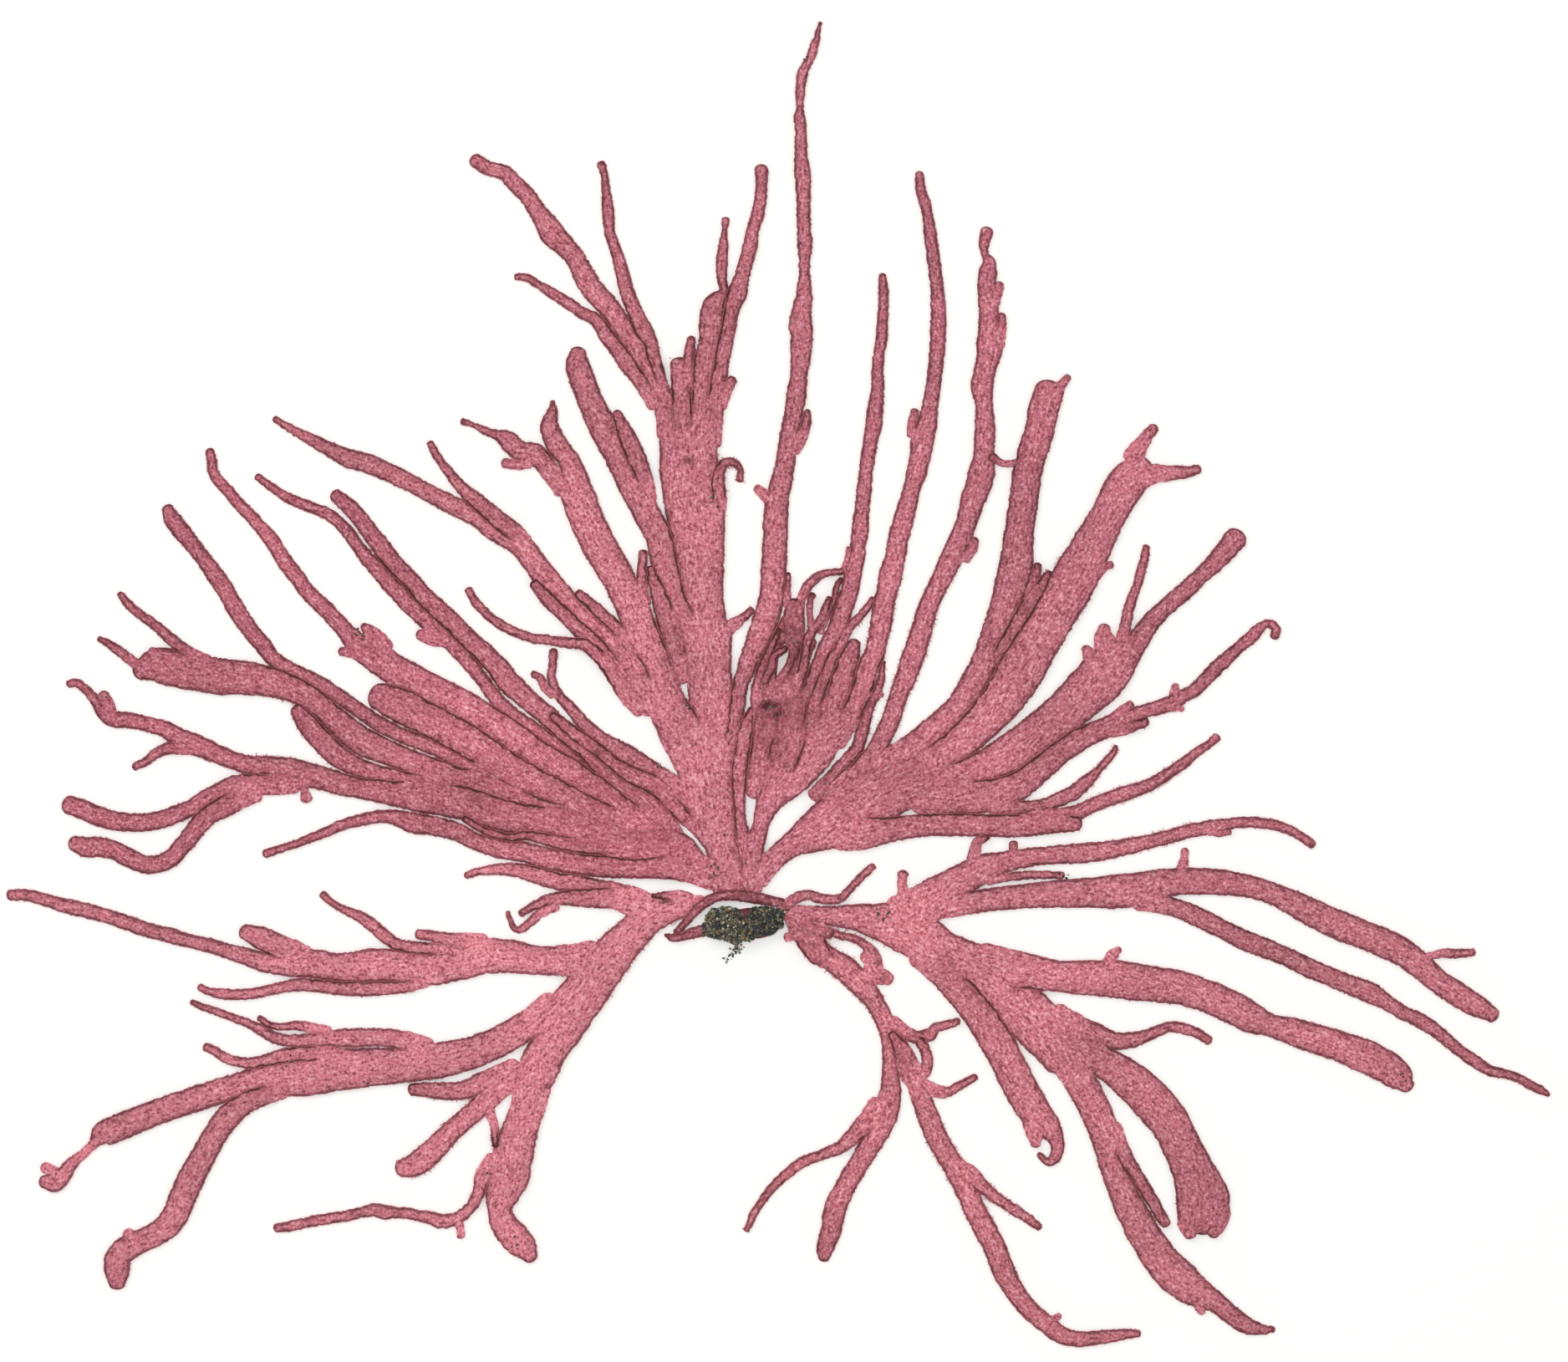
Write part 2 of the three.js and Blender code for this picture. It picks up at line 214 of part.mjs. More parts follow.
    arm3: [[-21.9, -35.3, 1.6], [-22.5, -34.4, 2.6], [-23.6, -33.2, 3], [-24.6, -32, 2.7],
      [-25, -30.5, 2.5], [-24.7, -28.8, 3.6], [-24.1, -27, 4.2], [-23.7, -25, 4.1], [-23.3, -23.5, 4],
      [-22.8, -22, 3.6], [-22.1, -20, 3.5], [-21.7, -18, 3.8]],
    arm3a: [[-33.9, -18.2, 1.3], [-32, -18.3, 1.6], [-30.1, -18.4, 1.8], [-28.6, -18.3, 1.9],
      [-27, -17.7, 2.4], [-25.4, -17.2, 2.6], [-23.4, -16.4, 2.8]],
    arm3b: [[-35, -26.3, 1.8], [-33.8, -26, 2.4], [-32.5, -25.1, 2.5], [-31.2, -23.8, 2.3],
      [-29.6, -22.2, 2.1], [-28, -20.8, 2.1], [-26.7, -19.6, 2.3], [-25.4, -18.4, 2.3],
      [-24, -17.2, 2.4]],
    arm3c: [[-25.4, -23.9, 0.7], [-25.5, -22.8, 0.8], [-25.7, -21.5, 0.9], [-26.2, -20.3, 1.2]],
    arm3d: [[-47.9, -32.4, 0.8], [-46.8, -32.3, 1], [-44.9, -31.9, 1.1], [-42.8, -31.5, 1.1],
      [-40.7, -31.2, 1.1], [-39.1, -30.8, 1.1], [-37.6, -30.6, 1.4], [-36.7, -30.8, 1.5],
      [-35.7, -30.8, 1.2], [-34.1, -31, 1.1], [-32.5, -31.3, 1.2], [-30.9, -31.7, 1.5],
      [-29.6, -31.5, 1.3], [-28.6, -30.9, 1.2], [-27.7, -29.9, 1.2], [-27.1, -28.5, 1.3],
      [-26.7, -27, 1.6], [-25.6, -25.4, 1.8]],
    arm3e: [[-29, -33.2, 0.8], [-29.1, -32.3, 0.8], [-29.4, -31.6, 0.9]],
  },
  frond_right_fan: {
    stemP: [[14.2, 65.1, 0.7], [14.3, 63.6, 1], [14.3, 62.1, 1], [14.2, 60.5, 1.1], [14.1, 58.6, 1.2],
      [13.85, 57.2, 1.1], [13.7, 55.4, 1.2], [13.7, 53.6, 1.3], [13.5, 51.7, 1.6], [13.3, 49.9, 1.7],
      [13, 48.3, 1.5], [12.7, 46.4, 1.5], [12.5, 44.9, 1.4], [12.3, 43, 1.5], [12.1, 41.2, 1.5],
      [11.9, 39.1, 1.7], [11.7, 37.5, 1.6], [11.5, 35.9, 1.8], [11.2, 35, 1.85], [10.9, 33, 1.8],
      [10.2, 31, 1.9], [9.5, 29, 1.8], [8.5, 27, 1.8], [7.6, 25, 1.6], [6.8, 23, 1.4], [5.7, 21.4, 1.7],
      [4.7, 20, 2.2]],
    stemP2: [[10.7, 37.2, 0.5], [10.6, 36.2, 0.6], [10.4, 35.2, 0.8]],
    stemP3: [[10, 34, 0.5], [9.5, 33.2, 0.6], [9.1, 31.4, 0.6], [8.4, 29.9, 0.6], [7.8, 28.6, 0.7]],
    stemP4: [[10, 34.8, 0.7], [8.7, 34.7, 0.7], [7.6, 34.3, 0.9], [6.7, 33.5, 1], [6.1, 32.6, 0.9],
      [5.8, 31.7, 1], [5.6, 30.7, 1.2]],
    stemNp: [[5.4, 30.8, 1.6], [4.4, 29.2, 1.8], [3.3, 27.4, 1.5], [2.7, 25.4, 1.5], [2.6, 23.4, 1.7],
      [3, 21.4, 2.4], [3.2, 19.4, 2.6]],
    stemNpl: [[1.5, 24.2, 0.8], [1.3, 22.4, 1.2], [1.4, 20.4, 1.4], [1.5, 18, 1.6]],
    stemNpr: [[6.8, 27.6, 1.3], [5.9, 25.6, 1.5], [5.2, 23.8, 2], [4.6, 22, 2.8], [4.4, 20, 3.2]],
    stemN1: [[3.6, 28.8, 0.7], [2.9, 27.2, 0.9], [1.9, 25, 1], [1.4, 23.2, 1], [1.3, 21.6, 1.2]],
    stemN2: [[4.2, 26.9, 0.7], [3.1, 26.2, 0.9], [2.8, 25, 1], [2.2, 23.7, 1], [1.8, 22.6, 1.2],
      [2, 21.2, 1.6]],
    stemN3: [[5.1, 26.9, 0.9], [4.7, 25.4, 0.8], [4.1, 24.3, 0.9], [3.5, 23.4, 0.9], [2.8, 22.4, 1.2]],
    stemN5: [[8.75, 32, 0.7], [8.4, 31.1, 0.8], [7.9, 29.9, 0.9], [7.1, 28.8, 1], [6.5, 27.7, 1.1],
      [6.3, 26.2, 1.1], [6, 24.6, 1.1], [5.4, 23.2, 1.2], [4.6, 22, 1.3], [3.6, 21.2, 1.4]],
    stemN6: [[7, 32.4, 0.7], [6.7, 31.4, 0.6], [6.8, 30.2, 0.6], [6.9, 29.2, 0.8]],
    stemN7: [[4.5, 34.5, 0.6], [4.5, 33.4, 0.6], [4.5, 32.2, 0.6], [4.6, 31.2, 0.9]],
    stemN8: [[5.2, 31.5, 1.4], [5.1, 30.4, 2.1], [5.1, 29, 2.2], [5.1, 27.8, 1.9], [5.2, 26.7, 1.2]],
    stemN9: [[10.2, 27.2, 1], [9.1, 26, 1.2], [8.5, 24.5, 1.3], [7.8, 22.9, 1.4], [7.3, 21.2, 1.6],
      [7, 19.6, 1.9], [6.6, 18.4, 1.6]],
    stemN10: [[11.3, 27.4, 1.3], [10.9, 26.2, 2], [10.5, 25, 2.2], [9.9, 23, 2.4], [9.2, 21, 2.3],
      [8.6, 19.3, 2.2]],
    stemN11: [[13.2, 32, 0.6], [12.5, 30.9, 0.8], [11.7, 30, 0.9], [10.9, 29.2, 0.9], [10.4, 28.2, 0.9],
      [9.9, 27.2, 1]],
    stemN12: [[14.2, 25.5, 0.6], [14.1, 24, 0.7], [13.7, 22.6, 1], [12.9, 21.1, 1.1], [12.4, 19.5, 1.2],
      [12, 18, 1.3], [11.6, 16.8, 1.3], [10.8, 15.8, 1.3], [9.8, 14.8, 1.2], [8.9, 13.7, 1.2],
      [8, 12.8, 1.3], [7.2, 11.8, 1.5]],
    stemN13: [[14.1, 22.2, 0.6], [13.4, 22.2, 0.8]],
    stemNo: [[2.5, 21, 1.4], [2.3, 19, 2.6], [2.2, 17.4, 3], [1.7, 15.8, 2.7], [1.2, 14.2, 2.1],
      [0.9, 12.6, 1.4]],
    stemN0: [[3.1, 20.9, 1.4], [2.6, 19, 3], [2.3, 16.6, 3.2], [1.7, 14.2, 2.6], [1, 12, 1.6]],
    stemNd: [[0.8, 20.6, 0.9], [0.3, 19, 1.4], [-0.1, 17, 1.6], [-0.4, 15, 1.7], [-0.5, 13, 1.5],
      [-0.5, 11, 1.2], [-0.4, 9.4, 1], [0.1, 8, 1.1], [0.7, 6.8, 1.2]],
    stemNb: [[9.4, 19.4, 3.2], [8, 17.8, 4.2], [6.6, 16.2, 4.8], [5.2, 14.4, 4.4], [3.2, 12.2, 3.4],
      [2.25, 10.5, 2.3], [1.75, 8.8, 1.7], [1.15, 7, 2], [0.8, 5, 2.2], [0.8, 3.4, 2.1], [1, 2.2, 1.8]],
    stemNc: [[5.2, 21, 2.4], [4.9, 19, 3], [4.4, 16.8, 3.4], [3.6, 14.6, 3], [2.8, 12.4, 2.6]],
    stemQ: [[18, 75.5, 0.8], [18.1, 74.1, 1], [18.5, 72.6, 1.1], [18.9, 71, 1.1], [19.1, 69.4, 1.3],
      [19.3, 67.8, 1.3], [19.5, 66.3, 1.3], [19.7, 64.7, 1.3], [19.85, 63.1, 1.4], [19.9, 61.5, 1.5],
      [19.9, 60, 1.6], [19.85, 58.1, 1.6], [19.6, 55.4, 1.5], [19.4, 53.8, 1.5], [19.1, 52, 1.6],
      [18.8, 50.1, 2], [18.4, 48.8, 2.3], [18.1, 47, 2.2], [17.7, 45.1, 2.1], [17.2, 43.3, 1.8],
      [16.7, 41.4, 1.9], [16.2, 39.6, 2.1], [15.8, 38, 2.1], [15.5, 36.2, 2.1], [15.1, 34.6, 2.4],
      [14.7, 33, 2.2], [14.3, 31.2, 2.2], [14, 29.4, 2.2], [13.7, 27.8, 2], [13.3, 26.2, 2.1],
      [12.7, 25, 2.1], [12.2, 23, 2.2], [11.4, 21, 2.2], [10.5, 19.3, 2.3], [9.3, 17.6, 2.6]],
    stemQ2: [[17.5, 51.2, 0.8], [17.2, 50, 0.9], [17.3, 48.8, 1.1]],
    stemV: [[24.9, 69.6, 1.3], [24.6, 68.4, 1.1], [24.7, 67.3, 0.7], [25.1, 66.5, 1.3], [25, 65.5, 1.8],
      [24.9, 64.4, 1.9], [25, 63.1, 2.1], [25.1, 61.5, 2], [25.1, 60, 2.1], [25.2, 58.4, 2.7],
      [25.1, 57, 2.5], [24.7, 55.4, 2.2], [24.4, 53.8, 2.3], [24.6, 52, 1.8], [24.7, 50.1, 2],
      [24.65, 48.3, 2.1], [24.6, 46.7, 2.1], [24.4, 45.1, 2.7], [24, 43.5, 2.6], [23.4, 42, 2.5],
      [22.9, 40.1, 2.2], [22.2, 38.3, 2.2], [21.4, 36.5, 2.3], [20.5, 34.6, 2.1], [19.7, 33, 2],
      [19, 31.5, 2], [18.5, 30, 2.1], [17.9, 27.8, 2.2], [17.2, 25.7, 2.3], [16.6, 24, 2.1],
      [15.8, 22, 1.9], [15.2, 20, 1.9], [14.3, 18, 1.9], [13.5, 16.5, 1.9], [12.3, 15, 2],
      [11, 13.5, 2.2], [9.4, 12, 2.4]],
    stemV2: [[26.2, 64.2, 0.8], [26, 63.3, 0.9], [25.6, 62.4, 1.2]],
    stemV3: [[26.4, 61, 0.8], [26.4, 59.5, 0.9], [26.2, 58, 1]],
    stemV4: [[25.4, 46.5, 0.9], [26.5, 45.9, 0.6], [27.9, 45.9, 0.8]],
    stemV5: [[23.6, 38, 0.9], [23.4, 37.2, 1.1], [22.6, 36.2, 1.3]],
    stemW: [[31.2, 53.2, 3], [30.7, 51.4, 3.1], [30.4, 49.9, 3], [30, 48.3, 3], [29.4, 46.4, 3],
      [29, 44.9, 3], [28.8, 43, 2.9], [28.5, 41.2, 3], [28.25, 39.3, 3], [28.1, 37.5, 3.1],
      [27.9, 35.7, 3.4], [27.5, 33.8, 3.4], [26.9, 32, 3.1], [26.2, 30, 2.8], [25.5, 28, 2.7],
      [24.8, 26, 2.7], [23.6, 23.6, 2.7], [22.1, 21.2, 2.6], [20.2, 19.2, 2.8], [18.3, 17.5, 3],
      [16.4, 15.9, 3.4], [14.2, 14, 3.8]],
    stemW2: [[33.2, 54.7, 0.7], [32.5, 53.9, 1], [31.9, 52.7, 1.4]],
    stemW3: [[30.1, 35.4, 0.8], [29.8, 34, 1], [29.2, 32.6, 1.2]],
    stemX: [[40.6, 45.2, 3.2], [39.4, 44.1, 3.9], [37.8, 41.5, 3.7], [36.5, 39, 3.8], [35.2, 36.6, 4.3],
      [33.8, 34, 4.7], [32.4, 31.8, 4.9], [31, 29.5, 4.9], [29.8, 27.4, 4.8], [28.6, 25.1, 4.8],
      [27.3, 22.9, 4.5], [25.8, 20.9, 4.1], [24, 19, 3.8], [22, 17.2, 3.4], [19.5, 15.4, 3.2],
      [17, 13.8, 3.6]],
    stemX2: [[37.6, 35.5, 0.7], [36.8, 35.2, 0.9], [35.8, 34.2, 1.2]],
    stemX3: [[31.2, 34.6, 0.8], [29.3, 31.6, 1.6], [27.2, 28.2, 1.4], [25, 24.6, 1]],
    stemR: [[17.5, 13.4, 4.6], [14.5, 12, 5.2], [11.8, 10.6, 6], [9.4, 9.3, 5.6], [7.2, 8.1, 4.2],
      [5.2, 7, 2.7], [3.6, 5.8, 2.3], [2.3, 4.5, 2.3], [1.5, 3.2, 2]],
    stemS: [[50.4, 38.2, 2.3], [49.3, 36.9, 2.2], [48.2, 35.7, 1.9], [46.9, 34.5, 1.7],
      [45.6, 33.2, 1.8], [44.2, 32, 1.8], [42.8, 30.8, 1.8], [41.6, 29.5, 2], [40.6, 28.1, 2.2],
      [39.5, 26.8, 3], [38.2, 25.6, 4.4], [36.8, 24.2, 5], [34.8, 22.2, 4.7], [32.7, 20.2, 4.3],
      [30, 18.1, 4.2], [27.6, 16.4, 4], [24.7, 14.8, 3.4], [21.5, 13.5, 3.4], [18.5, 12.6, 4]],
    stemT1: [[54.4, 28.2, 0.9], [54.5, 28.8, 1], [54.1, 29.4, 0.9], [53.4, 29.4, 0.8],
      [52.7, 28.9, 1.1], [52, 28.1, 1.3], [51, 27.3, 1.2], [49.9, 26.3, 1.3], [48.7, 25.2, 1.5],
      [47.3, 23.8, 1.4], [46.2, 22.7, 1.4], [45.1, 22.1, 1.3], [43.9, 21.4, 1.6], [42.5, 20.9, 1.5],
      [41.1, 20.5, 1.4], [39.8, 20, 1.7], [38, 19.2, 2.1], [36, 18.4, 2.2], [34, 17.4, 2.4],
      [32.3, 16.2, 2.4], [30.7, 14.9, 2.6], [29, 13.5, 2.8], [27.2, 12.4, 3.2], [24.5, 11.8, 3.4],
      [21.5, 11.8, 3.6], [18, 12, 4]],
    stemT1b: [[39.6, 21.2, 0.8], [38.9, 20.6, 1.1], [37.8, 19.7, 1.2]],
    stemT2: [[38.1, 16.9, 0.4], [37.8, 16.2, 0.7], [36.5, 14.7, 0.8], [35.2, 13.4, 1.3],
      [33.9, 12.3, 1.5], [32.6, 11.6, 1.5], [31, 11, 1.3], [29.4, 10.7, 1.3], [27.9, 10.7, 1.5],
      [25.5, 10.9, 2]],
    stemT3: [[48.4, 17.8, 0.9], [47.6, 17.1, 0.8], [46.5, 16.4, 0.9], [45.3, 15.4, 1.1],
      [44.2, 14.6, 1.1], [42.8, 13.7, 1.2], [41.4, 12.9, 1.3], [40, 12.4, 1.4], [38.2, 11.8, 1.5],
      [36, 11, 1.5], [34, 10.1, 1.6], [32, 9.6, 1.9], [29.5, 9.5, 2]],
    stemT4: [[34, 9, 1.6], [31.5, 9, 2], [28.5, 8.8, 2.3], [25, 8.8, 2.3], [21.5, 8.9, 2.3],
      [18, 8.8, 2.3], [15, 8.4, 2.6], [12, 8, 3.4], [9.5, 8, 3.4]],
    stemXa: [[42, 49.5, 1], [41.4, 48.8, 1.2], [40.6, 47.7, 1.6], [39.9, 46.4, 2.3]],
    stemXb: [[46.5, 45.3, 0.9], [45.4, 45, 1.2], [43.7, 44.9, 1.5], [42, 44.8, 2], [40.6, 44.6, 3]],
    stemU: [[41.2, 37.3, 0.7], [41, 36, 0.9], [40.7, 34.9, 1], [40.3, 33.4, 0.9], [39.9, 32.4, 1],
      [39.4, 30.9, 1.1], [39.1, 29.4, 1.1], [38.8, 28, 1.4], [38.6, 26.6, 1.6]],
    stemSa: [[36.9, 29, 1.2], [36.9, 27.9, 2.1], [37.2, 26.4, 2.6]],
    stemSb: [[35, 26.9, 0.9], [35.6, 25.9, 1.8], [36.4, 24.8, 2.4]],
    stemT1c: [[44.2, 23.1, 0.7], [44.1, 22.2, 1.1]],
    stemT1d: [[44.9, 20.8, 0.6], [43.8, 20.9, 1]],
    stemT1e: [[41.1, 19.4, 1], [40.2, 19.1, 1.1], [39, 18.7, 1.2], [37.6, 18.4, 1.2]],
  },
  frond_right_low: {
    mainAxis: [[32.6, -14.4, 4.8], [30.5, -12, 5.2], [28, -9.4, 5.4], [25.5, -7, 5.6],
      [22.5, -5.2, 4.6], [20, -3.9, 4.4], [17.5, -2.2, 5], [15.3, -1.3, 4.6], [13.5, -1, 3.6],
      [11.5, -0.6, 2.7], [9.5, -0.5, 2.1], [7.6, -0.3, 1.7], [6.1, -0.1, 1.4], [4.9, 0.1, 1.2]],
    armA: [[13.2, 4.6, 0.7], [12.4, 3.9, 0.8], [11.5, 3, 0.8], [10.7, 2.1, 0.8], [9.8, 1.3, 0.9],
      [8, 1.3, 1], [6.6, 1.7, 1], [5.4, 1.4, 1.1], [4.3, 0.7, 1], [3.5, 0.5, 0.8]],
    armS0: [[16.3, 3.8, 1.1], [16.2, 3, 0.9], [16.3, 2.1, 1.1], [16.4, 1, 1.6]],
    arm1a: [[58.2, 6.9, 0.9], [56.9, 7.8, 0.9], [55.5, 8.5, 1], [54.1, 8.9, 1.1], [52.4, 9.1, 1.1],
      [50.7, 9.1, 1.1], [49.3, 8.9, 1.2], [47.6, 8.6, 1.4], [45.6, 8.2, 1.4], [43.7, 7.7, 1.4],
      [41.7, 7.2, 1.4], [40, 6.8, 1.6], [38, 6.4, 1.8], [35, 6, 2], [32, 5.8, 1.9], [29, 5.5, 1.9],
      [26.5, 5, 2.2], [24.3, 4.3, 3], [22, 3, 3.4], [20, 1.8, 3.8], [18, 0.4, 4.4], [16, -0.6, 4.4]],
    armS1: [[24.9, 7.6, 0.7], [24, 7.2, 1], [23.7, 6.3, 1.2], [23.6, 5.2, 1.6]],
    armS2: [[27.6, 6.9, 0.9], [27.6, 5.8, 0.8], [27.5, 4.6, 0.8]],
    arm1b: [[32.6, 3.7, 0.7], [30.5, 3.75, 0.8], [28.4, 3.7, 0.9], [26.8, 3.5, 0.9], [25, 3.3, 1.2]],
    arm1c: [[76.7, -10.6, 1.5], [75.5, -9.9, 2.1], [74.1, -9.1, 2.4], [72.7, -8.2, 2.5],
      [71.3, -7.3, 2.4], [70.1, -6.3, 2.5], [69, -5.3, 2.7], [67.5, -4.2, 2.8], [66, -3.4, 3],
      [64, -2.6, 2.9], [62, -1.8, 3], [60, -1, 2.9], [58, 0, 2.8], [56, 1, 2.5], [54, 1.9, 2.2],
      [51.5, 2.6, 2.3], [48.5, 3, 2.6], [45.6, 3.1, 2.7], [43, 2.9, 2.9], [40.5, 2.3, 3.4],
      [38, 2.05, 3.4], [35, 1.9, 3], [32, 1.8, 2.8], [29, 1.6, 2.5], [26, 1.3, 2.4], [23, 0.9, 2.4],
      [20, 0.6, 2.8]],
    arm2: [[67.9, -17.8, 1.6], [67.2, -17, 2.9], [65.8, -15.9, 3.3], [63.8, -14.9, 3.4],
      [61.3, -13.9, 3.2], [58.5, -13, 3], [56.2, -12.3, 2.8], [54, -11.7, 2.3], [52, -10.9, 3.1],
      [50, -9.8, 3.3], [47.5, -8.7, 3.3], [45, -7.9, 3.4], [42.5, -7.5, 3.6], [40, -7.2, 3.8],
      [38, -6.9, 3.8], [35, -6.8, 3.5], [32, -6.6, 3.2], [29.5, -6.2, 3.6], [27, -5.8, 4],
      [24.5, -5.4, 4.4]],
    armS3: [[38.4, -3.9, 0.7], [37.8, -4.5, 1.2], [37.5, -5.4, 1.8]],
    arm3a: [[47.6, -13.2, 0.9], [46.5, -12.5, 1], [45.4, -12.1, 1.1], [43.9, -11.8, 1.1],
      [42.5, -12.2, 1.1], [41.1, -12.8, 1.3], [39.5, -13.2, 1.6], [37.8, -13.2, 1.8], [36, -12.4, 2],
      [34, -11.8, 2.6], [32, -11, 3.2]],
    arm4: [[30.3, -24.9, 0.6], [31, -25.6, 0.8], [31.7, -25.4, 1.1], [32.1, -24.5, 1.3],
      [32, -23.4, 1.6], [31.2, -22.1, 2.6], [29.8, -20.5, 3.3], [28.3, -18, 3.5], [26.9, -15.2, 3.4],
      [25.4, -12.5, 3.4], [23.7, -10, 3.2], [21.9, -7.9, 3.1], [20, -5.9, 3], [18.2, -4.2, 3.2]],
    arm4b: [[29.9, -23.8, 1], [29.8, -22.8, 1.8], [29.8, -21.4, 2.6]],
    armV: [[82.4, -18.8, 0.4], [81.7, -18.3, 0.8], [80.6, -17.8, 0.9], [79.2, -17, 0.9],
      [77.8, -16.6, 1], [76.4, -16.3, 1.1], [75, -15.4, 1.3], [73.6, -14.5, 1.2], [72.2, -13.3, 1.3],
      [70.7, -12.1, 1.4], [69.3, -11.2, 1.5], [67.6, -10.4, 1.4], [66, -9.4, 1.6], [64.3, -8.4, 2.1],
      [62.6, -7.7, 2], [59.9, -6.6, 1.9], [57.5, -5.6, 1.9], [55.5, -4.6, 1.9], [53, -3.6, 2],
      [51, -2.8, 2], [49, -1.8, 1.9], [47, -0.8, 2], [45, 0.1, 1.9], [43, 0.7, 1.9], [40.5, 1.3, 2.4]],
    armS4: [[45.2, 6.2, 0.8], [45.1, 5.4, 0.8], [44.9, 4.4, 1.2]],
    armS5: [[74.7, -4.2, 0.7], [73.3, -4.3, 0.9], [71.6, -4.3, 0.9], [70.6, -4.5, 0.7],
      [69.6, -4.8, 1.2]],
    armS6: [[49.8, 8.1, 0.4], [48.9, 8, 0.7], [47.8, 8.2, 0.9]],
    arm3b: [[47, -31, 5.1], [47, -29.4, 5.5], [46.2, -27, 4.5], [45.2, -24.8, 4], [44, -22.3, 4],
      [42.5, -20.2, 4.2], [40.7, -18.3, 4.1], [38.8, -16.7, 3.7], [37, -15.5, 3.3], [35.2, -14.4, 3.3],
      [33.4, -13.6, 3.6]],
    arm3bl: [[45.7, -33, 1.3], [45.4, -32, 1.8], [45.4, -30.8, 2]],
    arm3br: [[48, -32.9, 1.2], [48.9, -31.7, 1.5], [49, -30.4, 1.7]],
    arm3c: [[54.2, -42.8, 0.6], [53, -42.8, 1.1], [51.5, -42.4, 1.7], [49.8, -41.2, 1.9],
      [48.3, -40, 2.2], [46.3, -38.9, 3.2], [44.6, -37.6, 3.8], [43, -36, 3.6], [41.6, -34, 3.4],
      [40.4, -32, 3.3], [39.2, -29.6, 3], [38.2, -27.4, 2.6], [37.6, -25.2, 2.8], [37, -23, 3],
      [36.3, -21, 3.2], [35.2, -18.8, 3.2], [34, -16.6, 3.4], [32.8, -14.6, 4]],
    arm3d: [[43.2, -31.9, 1], [42.6, -31, 1.2], [41.7, -29.4, 1.3], [40.6, -27.6, 1.4],
      [39.5, -25.9, 1.5], [38.5, -24, 1.7], [37.7, -22.2, 2]],
    arm3e: [[46.9, -41, 0.8], [46.6, -40.2, 1.2]],
  },
  frond_low_centre: {
    spray1b: [[8.2, -35.4, 1.2], [8.4, -34.2, 1.9], [9, -32.4, 2.1], [9.3, -30.6, 2.3],
      [10.2, -28.6, 2.1], [11.3, -26.6, 2.1], [12.4, -24.8, 2.1], [13.4, -22.9, 2.6],
      [14.4, -20.8, 2.7], [15, -18.6, 2.2], [15, -16.4, 1.7], [15, -14.4, 1.7], [14.8, -12.6, 1.7],
      [14.2, -10.8, 1.9], [13.2, -9, 2.1], [11.9, -7.4, 2.5], [10.4, -5.9, 2.6], [8.8, -4.8, 2.3],
      [7.5, -3.9, 2], [6.4, -2.9, 1.8], [5.7, -2, 1.5]],
    spray1a: [[0.3, -32.6, 0.6], [0.9, -31.2, 0.8], [1.7, -29.9, 0.8], [2.9, -28.3, 0.9],
      [4.4, -26.9, 1], [6, -25.7, 1.1], [8, -24.9, 1.1], [9.8, -24.2, 1.3], [11.3, -22.9, 1.7],
      [12.8, -21.4, 2.2], [13.9, -19.9, 2.4]],
    spray2: [[21.9, -11.2, 0.7], [20.9, -11.6, 0.9], [19.7, -11.9, 1], [19, -12.6, 1.3],
      [17.8, -12.9, 1.3], [16.4, -12.3, 1.4], [15.2, -11.3, 1.4]],
    spray2b: [[18, -13.2, 1], [18.7, -14.6, 1.1], [18.7, -16, 1.2], [17.9, -17, 1.2], [16.8, -17.6, 1]],
    spray2c: [[15.6, -12.6, 1.2], [15.9, -14.6, 1.2], [16.5, -16.4, 1.3], [17, -17.2, 1.4]],
    spray3: [[40.4, -43.2, 0.7], [38.8, -43.3, 1.1], [36.6, -43.6, 1.4], [34.2, -43.8, 1.6],
      [32.4, -43.3, 1.8], [30.8, -42.1, 1.9], [29.3, -40.8, 1.9], [27.9, -39.1, 2], [26.7, -37, 2.3],
      [25.8, -34.7, 2.3], [24.6, -32.3, 2.3], [23.4, -30, 2.2], [22.4, -27.6, 2.4], [21.2, -25.6, 2.2],
      [20, -23.6, 2.2], [19.1, -21.6, 2.2], [18.4, -19.7, 2.1], [17.7, -18, 1.8], [17.3, -16.6, 1.6]],
    spray3a: [[30.2, -32.3, 0.8], [28.9, -31.3, 1], [27.3, -30.3, 1.1], [25.8, -29.3, 1.2],
      [24.4, -28.1, 1.4], [23.4, -27, 1.6], [22, -26, 1.6]],
    spray3b: [[23.7, -17, 0.7], [22.9, -17.4, 0.8], [21.8, -18, 0.9], [20.8, -18.5, 1.1],
      [19.7, -18.4, 1.3], [18.4, -17.9, 1.5]],
    spray3c: [[32.3, -41.4, 0.6], [31.5, -41.9, 0.9]],
    spray4: [[4.4, -2.7, 0.8], [5.1, -2.5, 0.9], [5.9, -2.2, 1.1]],
    spray5: [[7.9, -5.4, 0.9], [8.4, -4.8, 1.2]],
    spray6: [[8.6, -1.9, 0.7], [10, -2.5, 0.8], [11.4, -2.8, 0.8], [12.5, -3.5, 1], [13.2, -4.6, 1.6],
      [13.3, -6, 2]],
    spray7: [[12.4, -4.7, 1.2], [13.4, -4.6, 1.6]],
    spray8: [[14.8, -6.9, 1.3], [14, -6.6, 1.7], [13, -6.6, 1.8]],
    spray0: [[7.7, -4.4, 2.4], [6.9, -3, 2.9], [5.8, -1.7, 2.4], [4.7, -0.3, 1.5]],
    spray9: [[8.8, -2.2, 1.1], [7.6, -1.8, 1.6], [6.4, -1.9, 1.4]],
